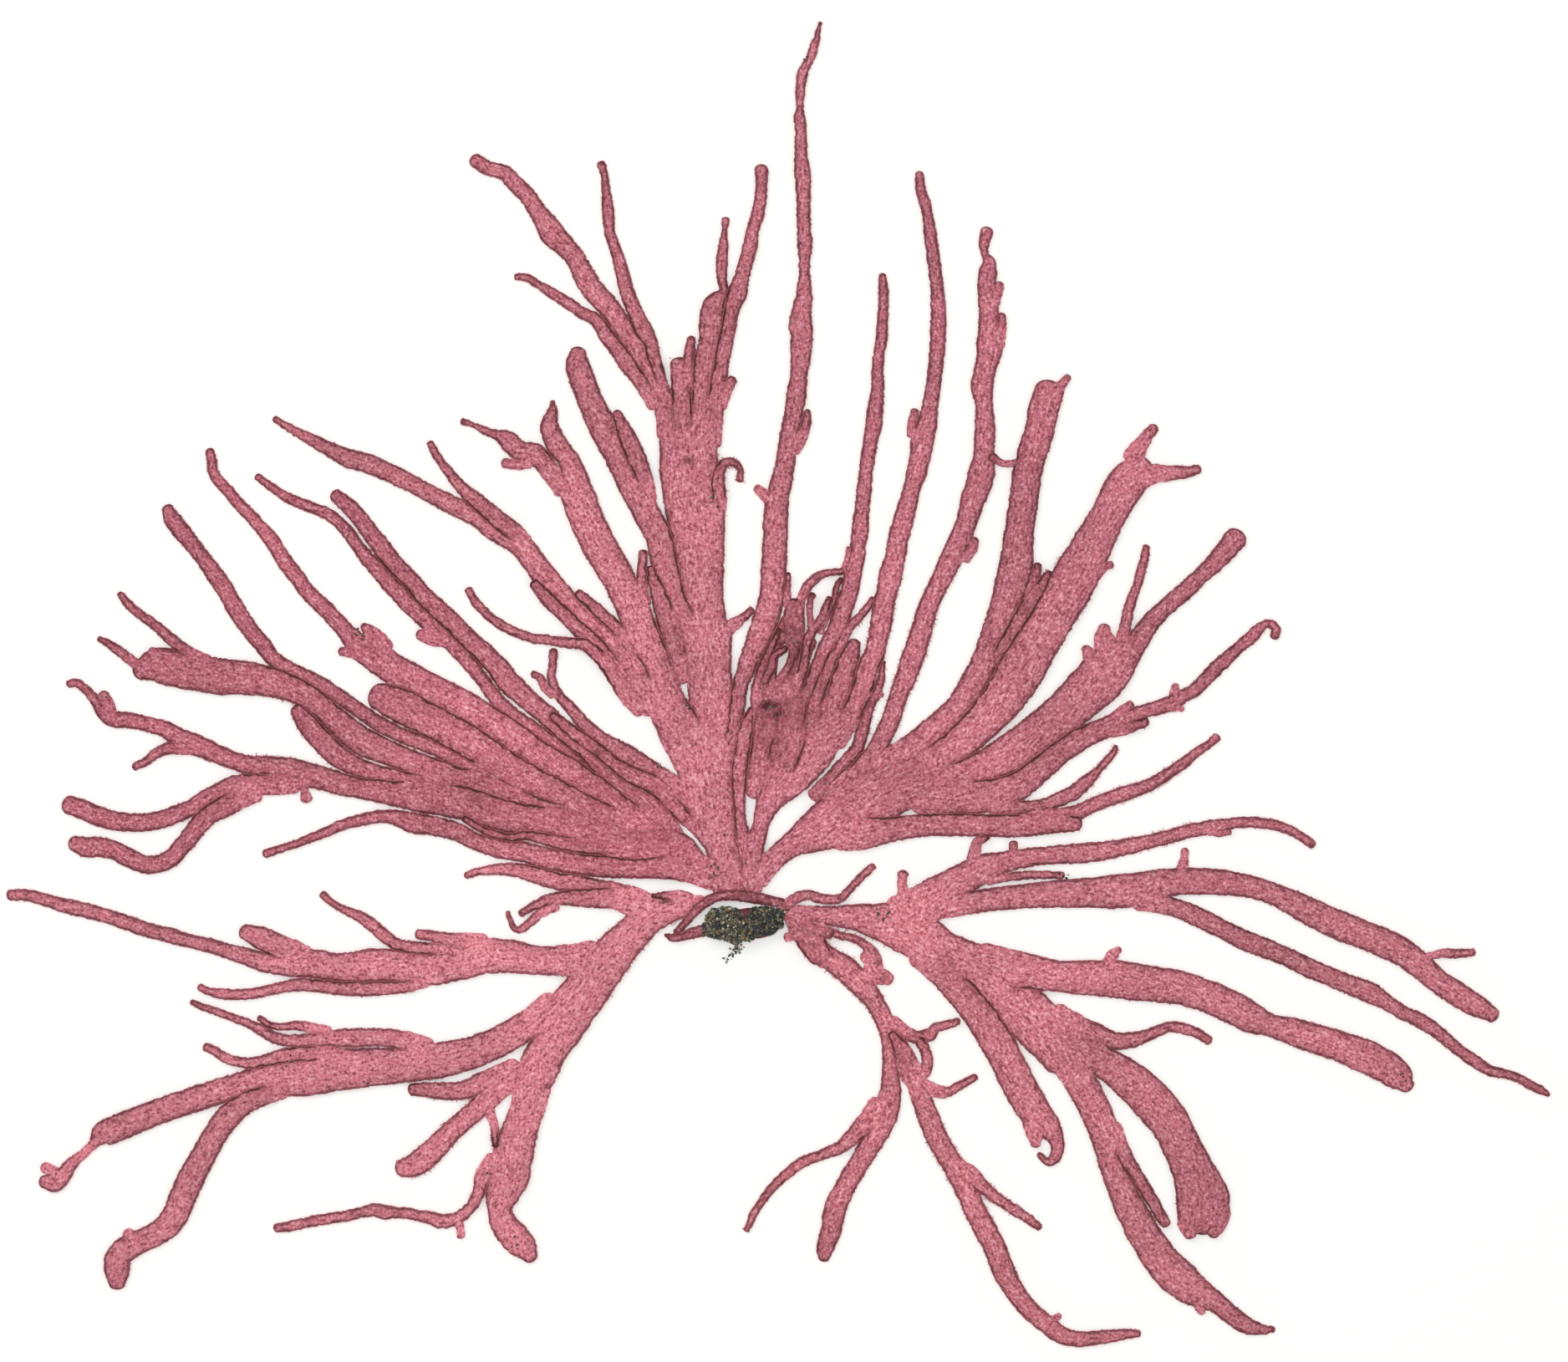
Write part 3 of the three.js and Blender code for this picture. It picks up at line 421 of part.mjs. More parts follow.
    spray2d: [[15.2, -12.6, 1], [16.4, -14.4, 1.7], [17.6, -16.6, 1.6]],
  },
};

// Points of the holdfast's rim, anticlockwise, and its crust of sediment in two lumps.
const holdfastRim = [[-3.2, 1.6], [-4, 0.6], [-4.3, -0.8], [-4.2, -2.2], [-2.5, -3.1], [0, -3.3],
  [2, -2.9], [3.8, -2.2], [4.3, -1], [4.1, 0.2], [3, 1.2], [1, 1.8], [-1.5, 1.9]];
const holdfastThickness = 0.9;
const holdfastWall = 0.45; // height of the upright part of the rim
const holdfastTop = 0.72; // size of the top as a share of the rim
const basalShred = [[-8, -2.4, 0.5], [-6.4, -2.6, 0.9], [-4, -2.2, 1.4], [-2.5, -2, 1.4]];
const crustBase = 1.2; // height of the lumps' underside
const crustLumps = {
  sediment_left: { centre: [-2.05, -1.35], half: [1.95, 1.6], grains: 10, seed: 7 },
  sediment_right: { centre: [2.15, -1.25], half: [1.8, 1.55], grains: 9, seed: 23 },
};
const crustCoreShare = 0.82; // size of a lump's core as a share of the lump
const crustCoreHalfHeight = 0.6;
const grainSmallest = 0.38;
const grainSpread = 0.28;
const grainDome = 0.7; // how much higher the middle grains sit
const goldenAngle = Math.PI * (3 - Math.sqrt(5));
const seamTolerance = 1e-5;
const drawMultiplier = 16807;
const drawRange = 2147483647;

const colours = {
  frond_centre: 0xc1727d,
  frond_left_fan: 0xbe6b7a,
  frond_left_low: 0xc57580,
  frond_right_fan: 0xba6c79,
  frond_right_low: 0xc2727d,
  frond_low_centre: 0xbd7080,
  holdfast: 0x9a5a5e,
  sediment_left: 0x4d4c46,
  sediment_right: 0x565349,
};

// Height of the underside over the surface: a gentle swell that comes down at the rest spots.
function undersideHeight(x, y, layer) {
  const wave = Math.sin(x / swell.lengthX + swell.phase) * Math.cos(y / swell.lengthY);
  let height = swell.height + swell.rise * wave;
  let spread = 1;
  for (const [spotX, spotY] of restSpots) {
    const away = Math.hypot(x - spotX, y - spotY);
    const raised = THREE.MathUtils.smoothstep(away, restSpotFlat, restSpotReach);
    height *= raised;
    spread *= layerLeft + (1 - layerLeft) * raised;
  }
  return height + layer * spread;
}

// Drops the points of a course that lie within the tolerance of a straight, evenly tapered run.
function thinned(course) {
  if (course.length < 3) return course;
  const first = new THREE.Vector3(...course[0]);
  const last = new THREE.Vector3(...course.at(-1));
  const run = new THREE.Line3(first, last);
  const nearest = new THREE.Vector3();
  let farthest = 0;
  let distance = 0;
  course.forEach((point, index) => {
    const here = new THREE.Vector3(...point);
    const away = run.closestPointToPoint(here, true, nearest).distanceTo(here);
    if (away > distance) {
      distance = away;
      farthest = index;
    }
  });
  if (distance < courseTolerance) return [course[0], course.at(-1)];
  const start = thinned(course.slice(0, farthest + 1));
  return [...start, ...thinned(course.slice(farthest)).slice(1)];
}

function solidOf(positions, faces) {
  return new wasm.Manifold(new wasm.Mesh({
    numProp: 3,
    vertProperties: new Float32Array(positions.flat()),
    triVerts: new Uint32Array(faces.flat()),
  }));
}

// A solid from any closed three.js geometry.
function solidOfGeometry(geometry) {
  const bare = new THREE.BufferGeometry();
  bare.setAttribute('position', geometry.getAttribute('position'));
  if (geometry.index) bare.setIndex(geometry.index);
  const merged = mergeVertices(bare, seamTolerance);
  return new wasm.Manifold(new wasm.Mesh({
    numProp: 3,
    vertProperties: new Float32Array(merged.getAttribute('position').array),
    triVerts: new Uint32Array(merged.index.array),
  }));
}

// One strap: six-sided rings along the course, closed by a point at each end.
function blade(course, layer, grow = 0) {
  const points = thinned(course);
  const positions = [];
  const faces = [];
  const ends = [];
  points.forEach(([x, y, width], index) => {
    const [backX, backY] = points[Math.max(0, index - 1)];
    const [nextX, nextY] = points[Math.min(points.length - 1, index + 1)];
    const along = new THREE.Vector2(nextX - backX, nextY - backY).normalize();
    const half = width / 2 + grow;
    const thickness = THREE.MathUtils.clamp(
      bladeWidthGain * width + bladeBaseThickness, bladeThinnest, bladeThickest) + 2 * grow;
    const under = undersideHeight(x, y, layer) - grow;
    const ring = [[-half, edgeHeight], [-half * undersideShare, 0], [half * undersideShare, 0],
      [half, edgeHeight], [half * topShare, 1], [-half * topShare, 1]];
    for (const [across, up] of ring) {
      positions.push([x - along.y * across, y + along.x * across, under + up * thickness]);
    }
    if (index === 0 || index === points.length - 1) {
      const reach = (index === 0 ? -1 : 1) * (width * tipLength + grow);
      ends.push([x + along.x * reach, y + along.y * reach, under + edgeHeight * thickness]);
    }
  });
  const sides = 6;
  const tip = positions.push(ends[0]) - 1;
  const base = positions.push(ends[1]) - 1;
  const lastRing = (points.length - 1) * sides;
  for (let side = 0; side < sides; side += 1) {
    const next = (side + 1) % sides;
    for (let ring = 0; ring < lastRing; ring += sides) {
      faces.push([ring + side, ring + next, ring + sides + next]);
      faces.push([ring + side, ring + sides + next, ring + sides + side]);
    }
    faces.push([tip, next, side]);
    faces.push([base, lastRing + side, lastRing + next]);
  }
  return solidOf(positions, faces);
}

function biggestPiece(solid) {
  return solid.decompose().reduce((best, piece) => (piece.volume() > best.volume() ? piece : best));
}

// All branches of a frond in one solid.
function frondSolid(branches, grow = 0) {
  const blades = Object.values(branches).map((course, index) => (
    blade(course, (index * layerStep % 1) * layerRange, grow)));
  return wasm.Manifold.union(blades);
}

// The basal disc: a flat underside, sloping sides and a smaller top.
function holdfastSolid(grow = 0) {
  const rim = holdfastRim.map(([x, y]) => new THREE.Vector2(x, y));
  const middle = rim.reduce((sum, point) => sum.add(point), new THREE.Vector2()).divideScalar(rim.length);
  const positions = [];
  const faces = [];
  const levels = [[0, 1], [holdfastWall, 1], [holdfastThickness + grow, holdfastTop]];
  const count = rim.length;
  for (const [height, share] of levels) {
    for (const point of rim) {
      const out = point.clone().sub(middle);
      out.setLength(out.length() * share + grow).add(middle);
      positions.push([out.x, out.y, height === 0 ? -grow : height]);
    }
  }
  const foot = positions.push([middle.x, middle.y, -grow]) - 1;
  const crown = positions.push([middle.x, middle.y, holdfastThickness + grow]) - 1;
  for (let step = 0; step < count; step += 1) {
    const next = (step + 1) % count;
    for (let level = 0; level < levels.length - 1; level += 1) {
      const low = level * count;
      const high = low + count;
      faces.push([low + step, low + next, high + next], [low + step, high + next, high + step]);
    }
    const top = (levels.length - 1) * count;
    faces.push([foot, next, step], [crown, top + step, top + next]);
  }
  return solidOf(positions, faces).add(blade(basalShred, 0, grow));
}

// A repeatable draw between 0 and 1.
function drawsFrom(seed) {
  let state = seed;
  return () => {
    state = (state * drawMultiplier) % drawRange;
    return state / drawRange;
  };
}

// A lump of sediment: a low core with angular grains standing out of it.
function crustSolid({ centre, half, grains, seed }) {
  const draw = drawsFrom(seed);
  const core = new THREE.IcosahedronGeometry(1, 1);
  core.scale(half[0] * crustCoreShare, half[1] * crustCoreShare, crustCoreHalfHeight);
  core.translate(centre[0], centre[1], crustBase + crustCoreHalfHeight);
  const pieces = [solidOfGeometry(core)];
  for (let grain = 0; grain < grains; grain += 1) {
    const turn = grain * goldenAngle;
    const reach = Math.sqrt((grain + 0.5) / grains) * crustCoreShare;
    const radius = grainSmallest + grainSpread * draw();
    const shape = new THREE.IcosahedronGeometry(radius, 0);
    shape.rotateX(draw() * Math.PI).rotateY(draw() * Math.PI);
    const height = crustBase + radius + (1 - reach) * grainDome;
    shape.translate(
      centre[0] + Math.cos(turn) * reach * half[0],
      centre[1] + Math.sin(turn) * reach * half[1],
      height,
    );
    pieces.push(solidOfGeometry(shape));
  }
  return biggestPiece(wasm.Manifold.union(pieces));
}

function meshOf(name, solid) {
  const { vertProperties, triVerts } = solid.getMesh();
  const geometry = new THREE.BufferGeometry();
  geometry.setAttribute('position', new THREE.BufferAttribute(new Float32Array(vertProperties), 3));
  geometry.setIndex(new THREE.BufferAttribute(new Uint32Array(triVerts), 1));
  geometry.computeVertexNormals();
  const color = colours[name];
  const material = new THREE.MeshStandardMaterial({ color, roughness: 0.85, metalness: 0 });
  const mesh = new THREE.Mesh(geometry, material);
  mesh.name = name;
  return mesh;
}

// A frond gives way to the fronds that lie against it and come before it, and to the holdfast.
const givesWayTo = {
  frond_centre: [],
  frond_left_fan: ['frond_centre'],
  frond_left_low: ['frond_centre', 'frond_left_fan'],
  frond_right_fan: ['frond_centre'],
  frond_right_low: ['frond_right_fan'],
  frond_low_centre: ['frond_right_low'],
};

const alga = new THREE.Group();
alga.name = 'alga';
const grownHoldfast = holdfastSolid(neighbourGap);
for (const [name, branches] of Object.entries(fronds)) {
  let solid = frondSolid(branches).subtract(grownHoldfast);
  for (const neighbour of givesWayTo[name]) {
    solid = solid.subtract(frondSolid(fronds[neighbour], neighbourGap));
  }
  alga.add(meshOf(name, biggestPiece(solid)));
}
alga.add(meshOf('holdfast', holdfastSolid()));
for (const [name, lump] of Object.entries(crustLumps)) {
  alga.add(meshOf(name, crustSolid(lump)));
}

export default alga;
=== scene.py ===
import math
import random

import bmesh
import bpy
import numpy as np
from mathutils import Matrix, Vector, noise


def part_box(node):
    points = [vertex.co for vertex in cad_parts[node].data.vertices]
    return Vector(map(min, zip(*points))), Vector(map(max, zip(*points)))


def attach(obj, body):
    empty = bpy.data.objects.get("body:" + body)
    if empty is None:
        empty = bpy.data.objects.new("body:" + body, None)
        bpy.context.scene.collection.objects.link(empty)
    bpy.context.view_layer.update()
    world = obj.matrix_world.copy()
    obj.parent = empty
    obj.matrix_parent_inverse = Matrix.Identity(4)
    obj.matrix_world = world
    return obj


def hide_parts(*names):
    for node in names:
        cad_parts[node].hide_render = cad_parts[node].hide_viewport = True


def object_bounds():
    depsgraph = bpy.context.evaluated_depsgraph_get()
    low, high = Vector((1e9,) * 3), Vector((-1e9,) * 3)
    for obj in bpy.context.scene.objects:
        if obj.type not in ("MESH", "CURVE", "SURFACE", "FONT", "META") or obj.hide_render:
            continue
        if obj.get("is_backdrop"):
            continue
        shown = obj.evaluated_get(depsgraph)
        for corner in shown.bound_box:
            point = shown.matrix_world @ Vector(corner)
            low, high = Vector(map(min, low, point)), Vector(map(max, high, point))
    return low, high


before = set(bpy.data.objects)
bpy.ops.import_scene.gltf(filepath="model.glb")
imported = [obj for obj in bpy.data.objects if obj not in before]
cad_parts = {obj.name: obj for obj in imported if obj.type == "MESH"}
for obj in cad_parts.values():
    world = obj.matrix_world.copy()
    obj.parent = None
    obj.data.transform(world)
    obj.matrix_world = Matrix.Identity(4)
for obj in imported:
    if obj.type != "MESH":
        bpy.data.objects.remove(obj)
cadLow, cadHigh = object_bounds()
print("frame loaded:", len(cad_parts), "nodes")

mm = 0.001

# The fronds' branches, each from its tip to its base: x,y,width in mm,
# with a semicolon after the last point.
frondCourses = {
    "frond_centre": """
-5.6,50,5.6 -5.65,46,6 -5.3,42.5,5.9 -4.9,40,5.8 -4.6,37,5.2 -4.4,34,4.6 -4.2,31,4.4 -3.9,28,5.2
-3.6,24.5,4.6 -3.3,21,5 -4,18,6 -4,15,5.8 -3.6,12,5.2 -3,9,4.6 -2.2,6.5,3.4 -1.9,4,3.6
-1.5,2.2,3.2;
-27.5,76.9,1.4 -26.2,76.1,1.5 -24.6,75.7,1.5 -23.5,74.6,1.7 -22.2,73.3,1.7 -21.2,71.8,1.8
-20.1,70.2,2.3 -19.6,69.4,2.6 -18.5,68.3,2.2 -17.2,66.8,2 -16.4,65.2,2.2 -15.4,63.6,2.2
-13.8,61.8,2.2 -12.5,59.9,2.2 -11.2,58.1,2.2 -9.6,55.4,2.2 -8.7,53.3,2.2 -8,51.2,2.2
-7.8,48.8,2.2;
-23.3,65,.6 -22.2,64.9,.8 -20.9,64.1,.85 -19.6,63.3,1.1 -18,62.3,1.15 -16.4,61.2,1.2
-15.1,60.5,1.4 -13.8,58.6,1.6 -12.8,57.3,1.6 -11.9,56,1.7 -10.3,53.8,1.5 -9.2,51.8,1.3;
-14.6,76.5,.9 -14.3,75.4,.7 -14.1,73.6,.95 -13.9,71.5,1.2 -13.7,69.4,1.1 -13,67.3,1.2
-12.4,65.2,1.4 -12,63.6,1.5 -11.2,61.5,1.6 -10.4,59.7,1.9 -9.6,58.4,1.5 -9.3,57,1.4
-8.6,54.8,1.2 -7.9,52.5,1;
-6.6,56,1.9 -6.4,54,2.1 -6.3,50,2 -6.2,47,2;
-5.4,58.6,.9 -5.6,56.5,1.2 -5.6,54,1.2;
-1.85,70.8,.8 -2,69.7,.55 -2.1,68.3,.95 -2.25,66.5,1.15 -2.25,64.7,1 -2.1,63.5,1 -3,62.2,2.2
-3.3,60.5,2.5 -3.5,58.5,2.2 -4,56,2.3 -4.2,53,2.2 -4.3,49,2.4;
1.8,76,1.3 1.8,74.1,1.2 1.55,72,1.3 .9,69.7,1.3 .5,67.6,1.5 -.15,65.2,1.5 -.7,63.3,2
-1.2,61.8,1.6 -1.6,59.7,1.5 -2,57.8,1.6 -2.3,56,1.5 -2.6,54,1.7 -3,51,1.8 -3.3,48,2;
-1.2,54.4,1 -1.8,53.4,1.2 -2.5,51.8,1.4;
-.4,44.2,.65 -.4,45.4,.65 -1.2,46,.8 -2.1,45.8,1 -2.65,44.3,1.3 -2.5,42.2,1.4 -2.6,40,1.2;
.75,30.8,.8 -.2,30,.95 -1.3,29.2,1.4 -2.2,28.5,1.6;
-17,57.2,1.6 -17,55.9,2.5 -15.9,52.7,2.6 -14.3,49.3,2.9 -12.8,46.7,3 -11.2,43.3,3 -10,40.9,2.75
-8.8,38.5,2.7 -8.3,36.4,2.7 -7.8,33.8,2.8 -7.1,31.7,2.6 -6.2,29.8,2.5 -5.3,27.5,2.5;
-9.6,35,1 -8.4,31.5,1.9 -7.3,27.8,2.2 -6.3,23.8,1.8;
-13,51,.9 -11.8,48.2,1.9 -10.5,45.2,1.8 -9.5,42.2,1.2;
-19.6,52.2,.4 -19.6,51.2,1.1 -19.9,49.6,1.9 -19.1,47.7,2.2 -17.8,45.9,2.3 -17.2,43.2,3.4
-16,39.9,3.5 -14.4,36.7,3.5 -12.9,34.2,3.3 -11.6,31.5,3.4 -10.6,29,3.3 -9.6,26.5,3.4 -8.7,24,3.6
-8,21.5,4 -6.5,18.5,4.5 -5,15.5,4.5;
-28.8,50.2,.6 -27.7,49.8,.5 -26.7,49.3,.8 -25.4,48.8,1 -24.3,48.3,1.9 -23,47.2,2
-21.2,46.7,2.2 -19.9,45.1,2 -18.5,43.3,2;
-24.5,45.9,.9 -23.3,45.8,1.1 -22,46,1.2;
-10.3,36.7,.9 -10.4,35.1,1 -10.5,33.6,1.1 -10.1,31.5,1.2;
-48,50.4,.7 -46,49.2,.9 -43.1,47.7,1.4 -40.5,46.4,1.9 -38.6,45.9,2 -35,44.3,1.8 -32,42.7,1.8
-30.1,41.7,1.9 -27.5,40.4,1.9 -25.1,38.8,2.2 -23,37.6,2.4 -21.6,35.9,2.4 -20.5,34.4,2.5
-18.5,32.2,2.4 -16.4,30.3,2.2 -14.6,28.9,2.2 -12.9,27.2,2.2 -11.6,25.3,2.4 -10.5,23,2.6
-9.3,21,2.8;
-32.1,47.9,.75 -31.3,46.4,.8 -30.1,44.8,1 -28.8,43.3,1.3 -27,41.7,1.7 -24.9,39.9,1.9
-23.3,38.6,1.9 -22,36.8,2;
-21.4,33.5,1.1 -20,31.9,1.5 -18.5,30.5,1.5 -17,29,1.6 -15.3,27.4,1.8 -13.6,25.4,1.8
-12.3,23.3,2;
-16.9,32.5,1 -15.6,31.4,1.2 -14.1,30,1.3 -12.6,28.6,1.4 -11.2,27,1.2;
-28.2,32.9,.75 -27.5,31.7,.9 -26.4,30.5,.9 -25.1,29.5,1 -23.6,28.7,1 -21.7,28,.95
-19.9,27.8,1 -18,27.5,1.1 -16.5,27.4,1.2 -15.4,26.7,1.4 -14.4,25.7,1.5 -13.2,24,1.6 -12,22.2,1.8
-10.5,20.8,2;
-19.5,26.6,.9 -19.6,25.2,.8 -19.7,23.8,.9 -19,22.2,1 -17.8,20.9,1.2 -16.4,19.2,1.4
-14.6,17.6,1.6 -13,16.5,2.2 -11,15.4,2.1 -9.2,14.4,1.7 -7.6,13.2,2 -5.8,11.8,2.4;
-21.6,24.3,.6 -20.9,24,.8 -20.4,23,.9 -19.6,22.2,1;
7.8,91,.35 7.5,89.6,.55 7.2,88.6,.9 6.9,87.6,.9 6.3,86.5,.9 6,85.7,1.1 5.8,84.4,1
5.75,83.3,.9 5.75,82.4,.65 5.7,81.2,1.2 5.8,80.4,1.1 5.85,78.9,1.2 5.85,77.3,1.3 6,75.7,1.6
6.1,74.1,1.55 6.1,72,1.4 6.15,70,1.4 6.25,68.1,1.5 6.2,66.5,1.1 6.2,65,1.2 6.15,63.1,1.7
5.9,61.3,2 5.8,60,2.4 5.95,58.9,2.2 5.85,57.2,2.1 5.65,55,1.8 5.4,53,2 5.1,51,1.9 4.7,49,1.9
4.4,47,1.95 4.1,45,2.1 3.6,43,2.2 3.3,41,2.5 3.2,38,2.5 3.05,35,2.6 2.9,33,2.5 2.6,31,2.6
1.9,29,2.6 1.1,27,2.3 .3,25,1.9 -.4,23,1.6 -.7,21,1.6 -.9,19,1.5 -1.4,17.2,1.6
-1.8,15.4,1.8;
6.5,51.2,.6 6.4,50,1 5.9,48.6,1.2 5.1,47.3,1.4;
1.4,43.3,.9 2,42.8,1.1 2.8,42,1.3;
    """,
    "frond_left_fan": """
-49.8,44.5,.7 -48,43.2,.9 -46.8,42.4,1 -44.9,41.6,1.1 -42.8,40.8,1.2 -41.7,40,1.2
-40.5,38.8,1.3 -39.7,37.6,1.3 -38.6,36.2,1.5 -37,34.4,1.7 -35.3,32.5,1.8 -34,31.2,1.8
-32.5,29.8,1.9 -31,28.4,1.9 -29.5,27,1.7 -28.3,25.6,1.5 -27,24,1.4 -26,22.6,1.4 -25,21.3,1.5
-23.6,20,1.6 -22,18.9,1.6 -20,17.5,1.5 -18,15.9,1.7 -16,14,2 -14,12.2,2.2 -12,10.6,2.6 -10,9.2,3
-7.5,7,3.6;
-33.2,28.3,1 -32.2,28.2,1.8 -31,27.8,1.5;
-41.8,42.6,1.3 -40.6,41.6,1.6 -39.7,40.7,1.7 -38.5,39.1,1.7 -37.2,37.4,1.9 -35.9,35.7,1.9
-34.3,34.1,1.8 -33,32.5,1.9 -31.4,31,2 -29.9,29.6,2 -28.3,28,2 -26.7,26.5,2.1 -25.4,25.2,2.2
-24,23.4,2.4 -22,21.6,2.1 -20,19.9,2.1 -18,18,1.9 -16,16.2,1.6 -14,13.8,1.8 -12,12.3,2.1
-10,11.4,2.3 -8.3,9.5,2.3 -7,7.2,2.2;
-54.7,47.1,.9 -54.5,46.2,1 -54.4,45.1,1.1 -53.8,44.1,1.1 -52.7,42.9,1.2 -51.7,41.7,1.2
-50.5,40.5,1.3 -49.4,39.2,1.35 -48.5,38.2,1.5 -47.6,36.7,1.5 -46.7,35.4,1.6 -45.7,34.1,1.6
-44.6,32.6,1.6 -43.1,31.2,1.7 -41.8,29.8,1.7 -40.7,28.6,1.9 -39.2,27,2.6 -36,24.9,3.2
-33,23.2,3.2 -30,21.8,3.1 -27,20.1,3.1 -24,18.2,3 -21,16.1,2.9 -18,14.2,3.2 -15,12,3.4
-12,9.5,3.6 -9,7.6,4;
-41.2,26.6,.9 -40.1,26.6,1.3 -38.8,26.2,1.8;
-38.9,29.2,.8 -38,28.3,1.8 -36.8,26.9,2;
-59,41.2,1.2 -58.5,40.1,1.8 -57.4,38.7,1.8 -56.2,37.2,1.6 -55.2,35.9,1.6 -54.3,34.6,1.8
-53.3,33.2,1.8 -52.4,31.6,1.8 -51.4,30,1.8 -50.5,28.7,1.7 -49.4,27.4,1.7 -48.4,26.1,1.6
-47.2,25.2,1.5 -45.2,24.2,1.5 -43,23,1.6 -41,21.7,1.5 -39,20.3,1.5 -37,19,1.6 -34.5,17.8,1.5
-32,16.9,1.6 -29.5,15.7,1.9 -27,14.4,2.4 -24,13.2,2.6;
-37.3,22,2.8 -35,21,3.5 -32,19.5,3.4 -29,17.9,3.4 -26,16,3.2 -23,14.2,3 -20,12.5,3 -17,10.8,3.2
-14,9.2,3.4 -11,7.6,3.6;
-61.8,24.7,2 -60,25.2,3.7 -57,24.6,3.7 -54,24.1,3.7 -51,23.9,3.4 -48,23.4,3 -45,22.2,2.6
-43,20.7,2.5 -41,18.9,2.7 -39,17.4,2.9 -36.5,16.3,2.6 -34,15.3,2.5 -31,14.1,2.6 -28,12.9,3
-25,11.6,3.2 -22,10.4,3.2 -19,9.4,3.2 -16,8.4,3.4;
-63.9,32.5,.6 -63.1,31.5,.9 -62,30.5,.9 -60.7,29.6,1 -59.6,28.7,1.1 -58.1,27.4,1.2
-56.8,26.5,1.2 -55,25.6,1.4;
-66,27.9,.6 -64.6,27.1,.9 -63.3,26.1,1 -62.3,25.4,1.1 -61.2,25,1.3;
-60.6,26.6,1 -60,26.2,1.5 -58.8,25.5,2;
-45.7,20.6,1.5 -44.7,19.2,2.2 -43.3,17.6,2.3 -41.8,16.1,2.3 -40,15,2 -38,14.3,1.8 -36,13.8,1.7
-33.5,13.2,1.8 -31,12.6,2;
-69.1,23.3,.8 -68.3,23.4,.8 -67.3,22.6,.9 -66.5,21.7,1 -65.7,20.4,1.3 -64.7,19.7,1.6
-63.1,19.6,1.6 -61.2,19.2,1.5 -59.4,18.7,1.7 -57.8,17.7,2 -56,17,2.2 -54.1,16.2,1.9
-52.3,15.5,1.8 -50.7,15,1.9 -48.5,14.9,2 -46,14.2,2.8 -43.5,13.7,2.4 -41,13,2.3 -39,12.6,2.2
-36.5,12.2,2.5 -34,11.8,2.9 -31,11.5,3.4 -28,10.9,3.5 -25,9.9,3.4 -22,9.4,3.2 -19,8.9,3.2
-16,7.8,3.4 -13,6.6,3.8 -10,6.2,4.2 -7,5.9,4.6 -5,4.7,3.1 -3.2,3.6,2.8 -2.6,3.2,2.4;
-65.6,22.2,1 -65.2,21.2,1.3 -64.9,20.2,1.3;
-62.4,14.8,.7 -61.2,15.4,.9 -60.2,16.2,1 -58.9,16.7,1.2 -57.3,16.7,1.3 -56,16.7,1.4;
-69.1,10.9,1.9 -67.8,10.5,2 -66,9.7,2 -63.9,9.2,1.9 -62,9.1,1.8 -60.2,9.3,1.8 -58.6,9.8,1.8
-56.8,10.5,1.7 -55.2,11.4,2 -53.6,12.2,2.1 -52,12.8,2.3 -50,13,2.2 -48,13,2.1 -46,13.2,2.2;
-68.6,7,1.5 -67.5,6.6,2 -66,6.6,2 -64.4,6.2,1.9 -62.8,5.4,1.9 -61.2,4.8,1.8 -59.9,4.9,1.8
-58.6,5.5,1.8 -57.6,6.6,1.8 -56.6,7.8,1.9 -55.8,8.9,1.9 -54.7,9.9,2 -53.1,10.8,2.2
-51.5,11.6,2.1 -50,12.2,2;
-44.8,11.6,1.2 -45,12.3,.8 -45.1,13.2,.8;
-49,5.9,.8 -47.8,6.3,.8 -46,6.9,.8 -44.4,7.5,.9 -42.9,8.1,1 -41,8.9,1.1 -39.4,9.3,1.2
-37.6,9.7,1.3 -36,9.7,1.5 -34,9.1,2.1 -32,8.8,2 -29.5,8.2,1.9 -27.5,7.2,1.8 -25,6.4,1.9
-22.5,6.1,2.1 -20,5.4,2.2 -17,4.9,2.2 -14,4.6,2.3 -11,4.4,2 -8,4.5,2.4 -5.5,4.2,2.5
-3.4,3.4,2.4;
-28.6,9.5,.7 -26.5,8.3,.8 -24,7.6,.9 -22,7.8,1 -19.5,7.2,1.4 -17,6.8,1.6 -14.5,6.5,1.5
-12,6.2,1.6;
-19.5,20,1 -17.3,18.2,1.4 -15,16.6,1.4 -13.2,15.1,1.5 -11.5,14,1.8 -9.5,13.1,2 -8,11.8,1.8
-6.5,10.1,1.6 -5.3,8.8,1.2 -4.5,7.8,.9;
    """,
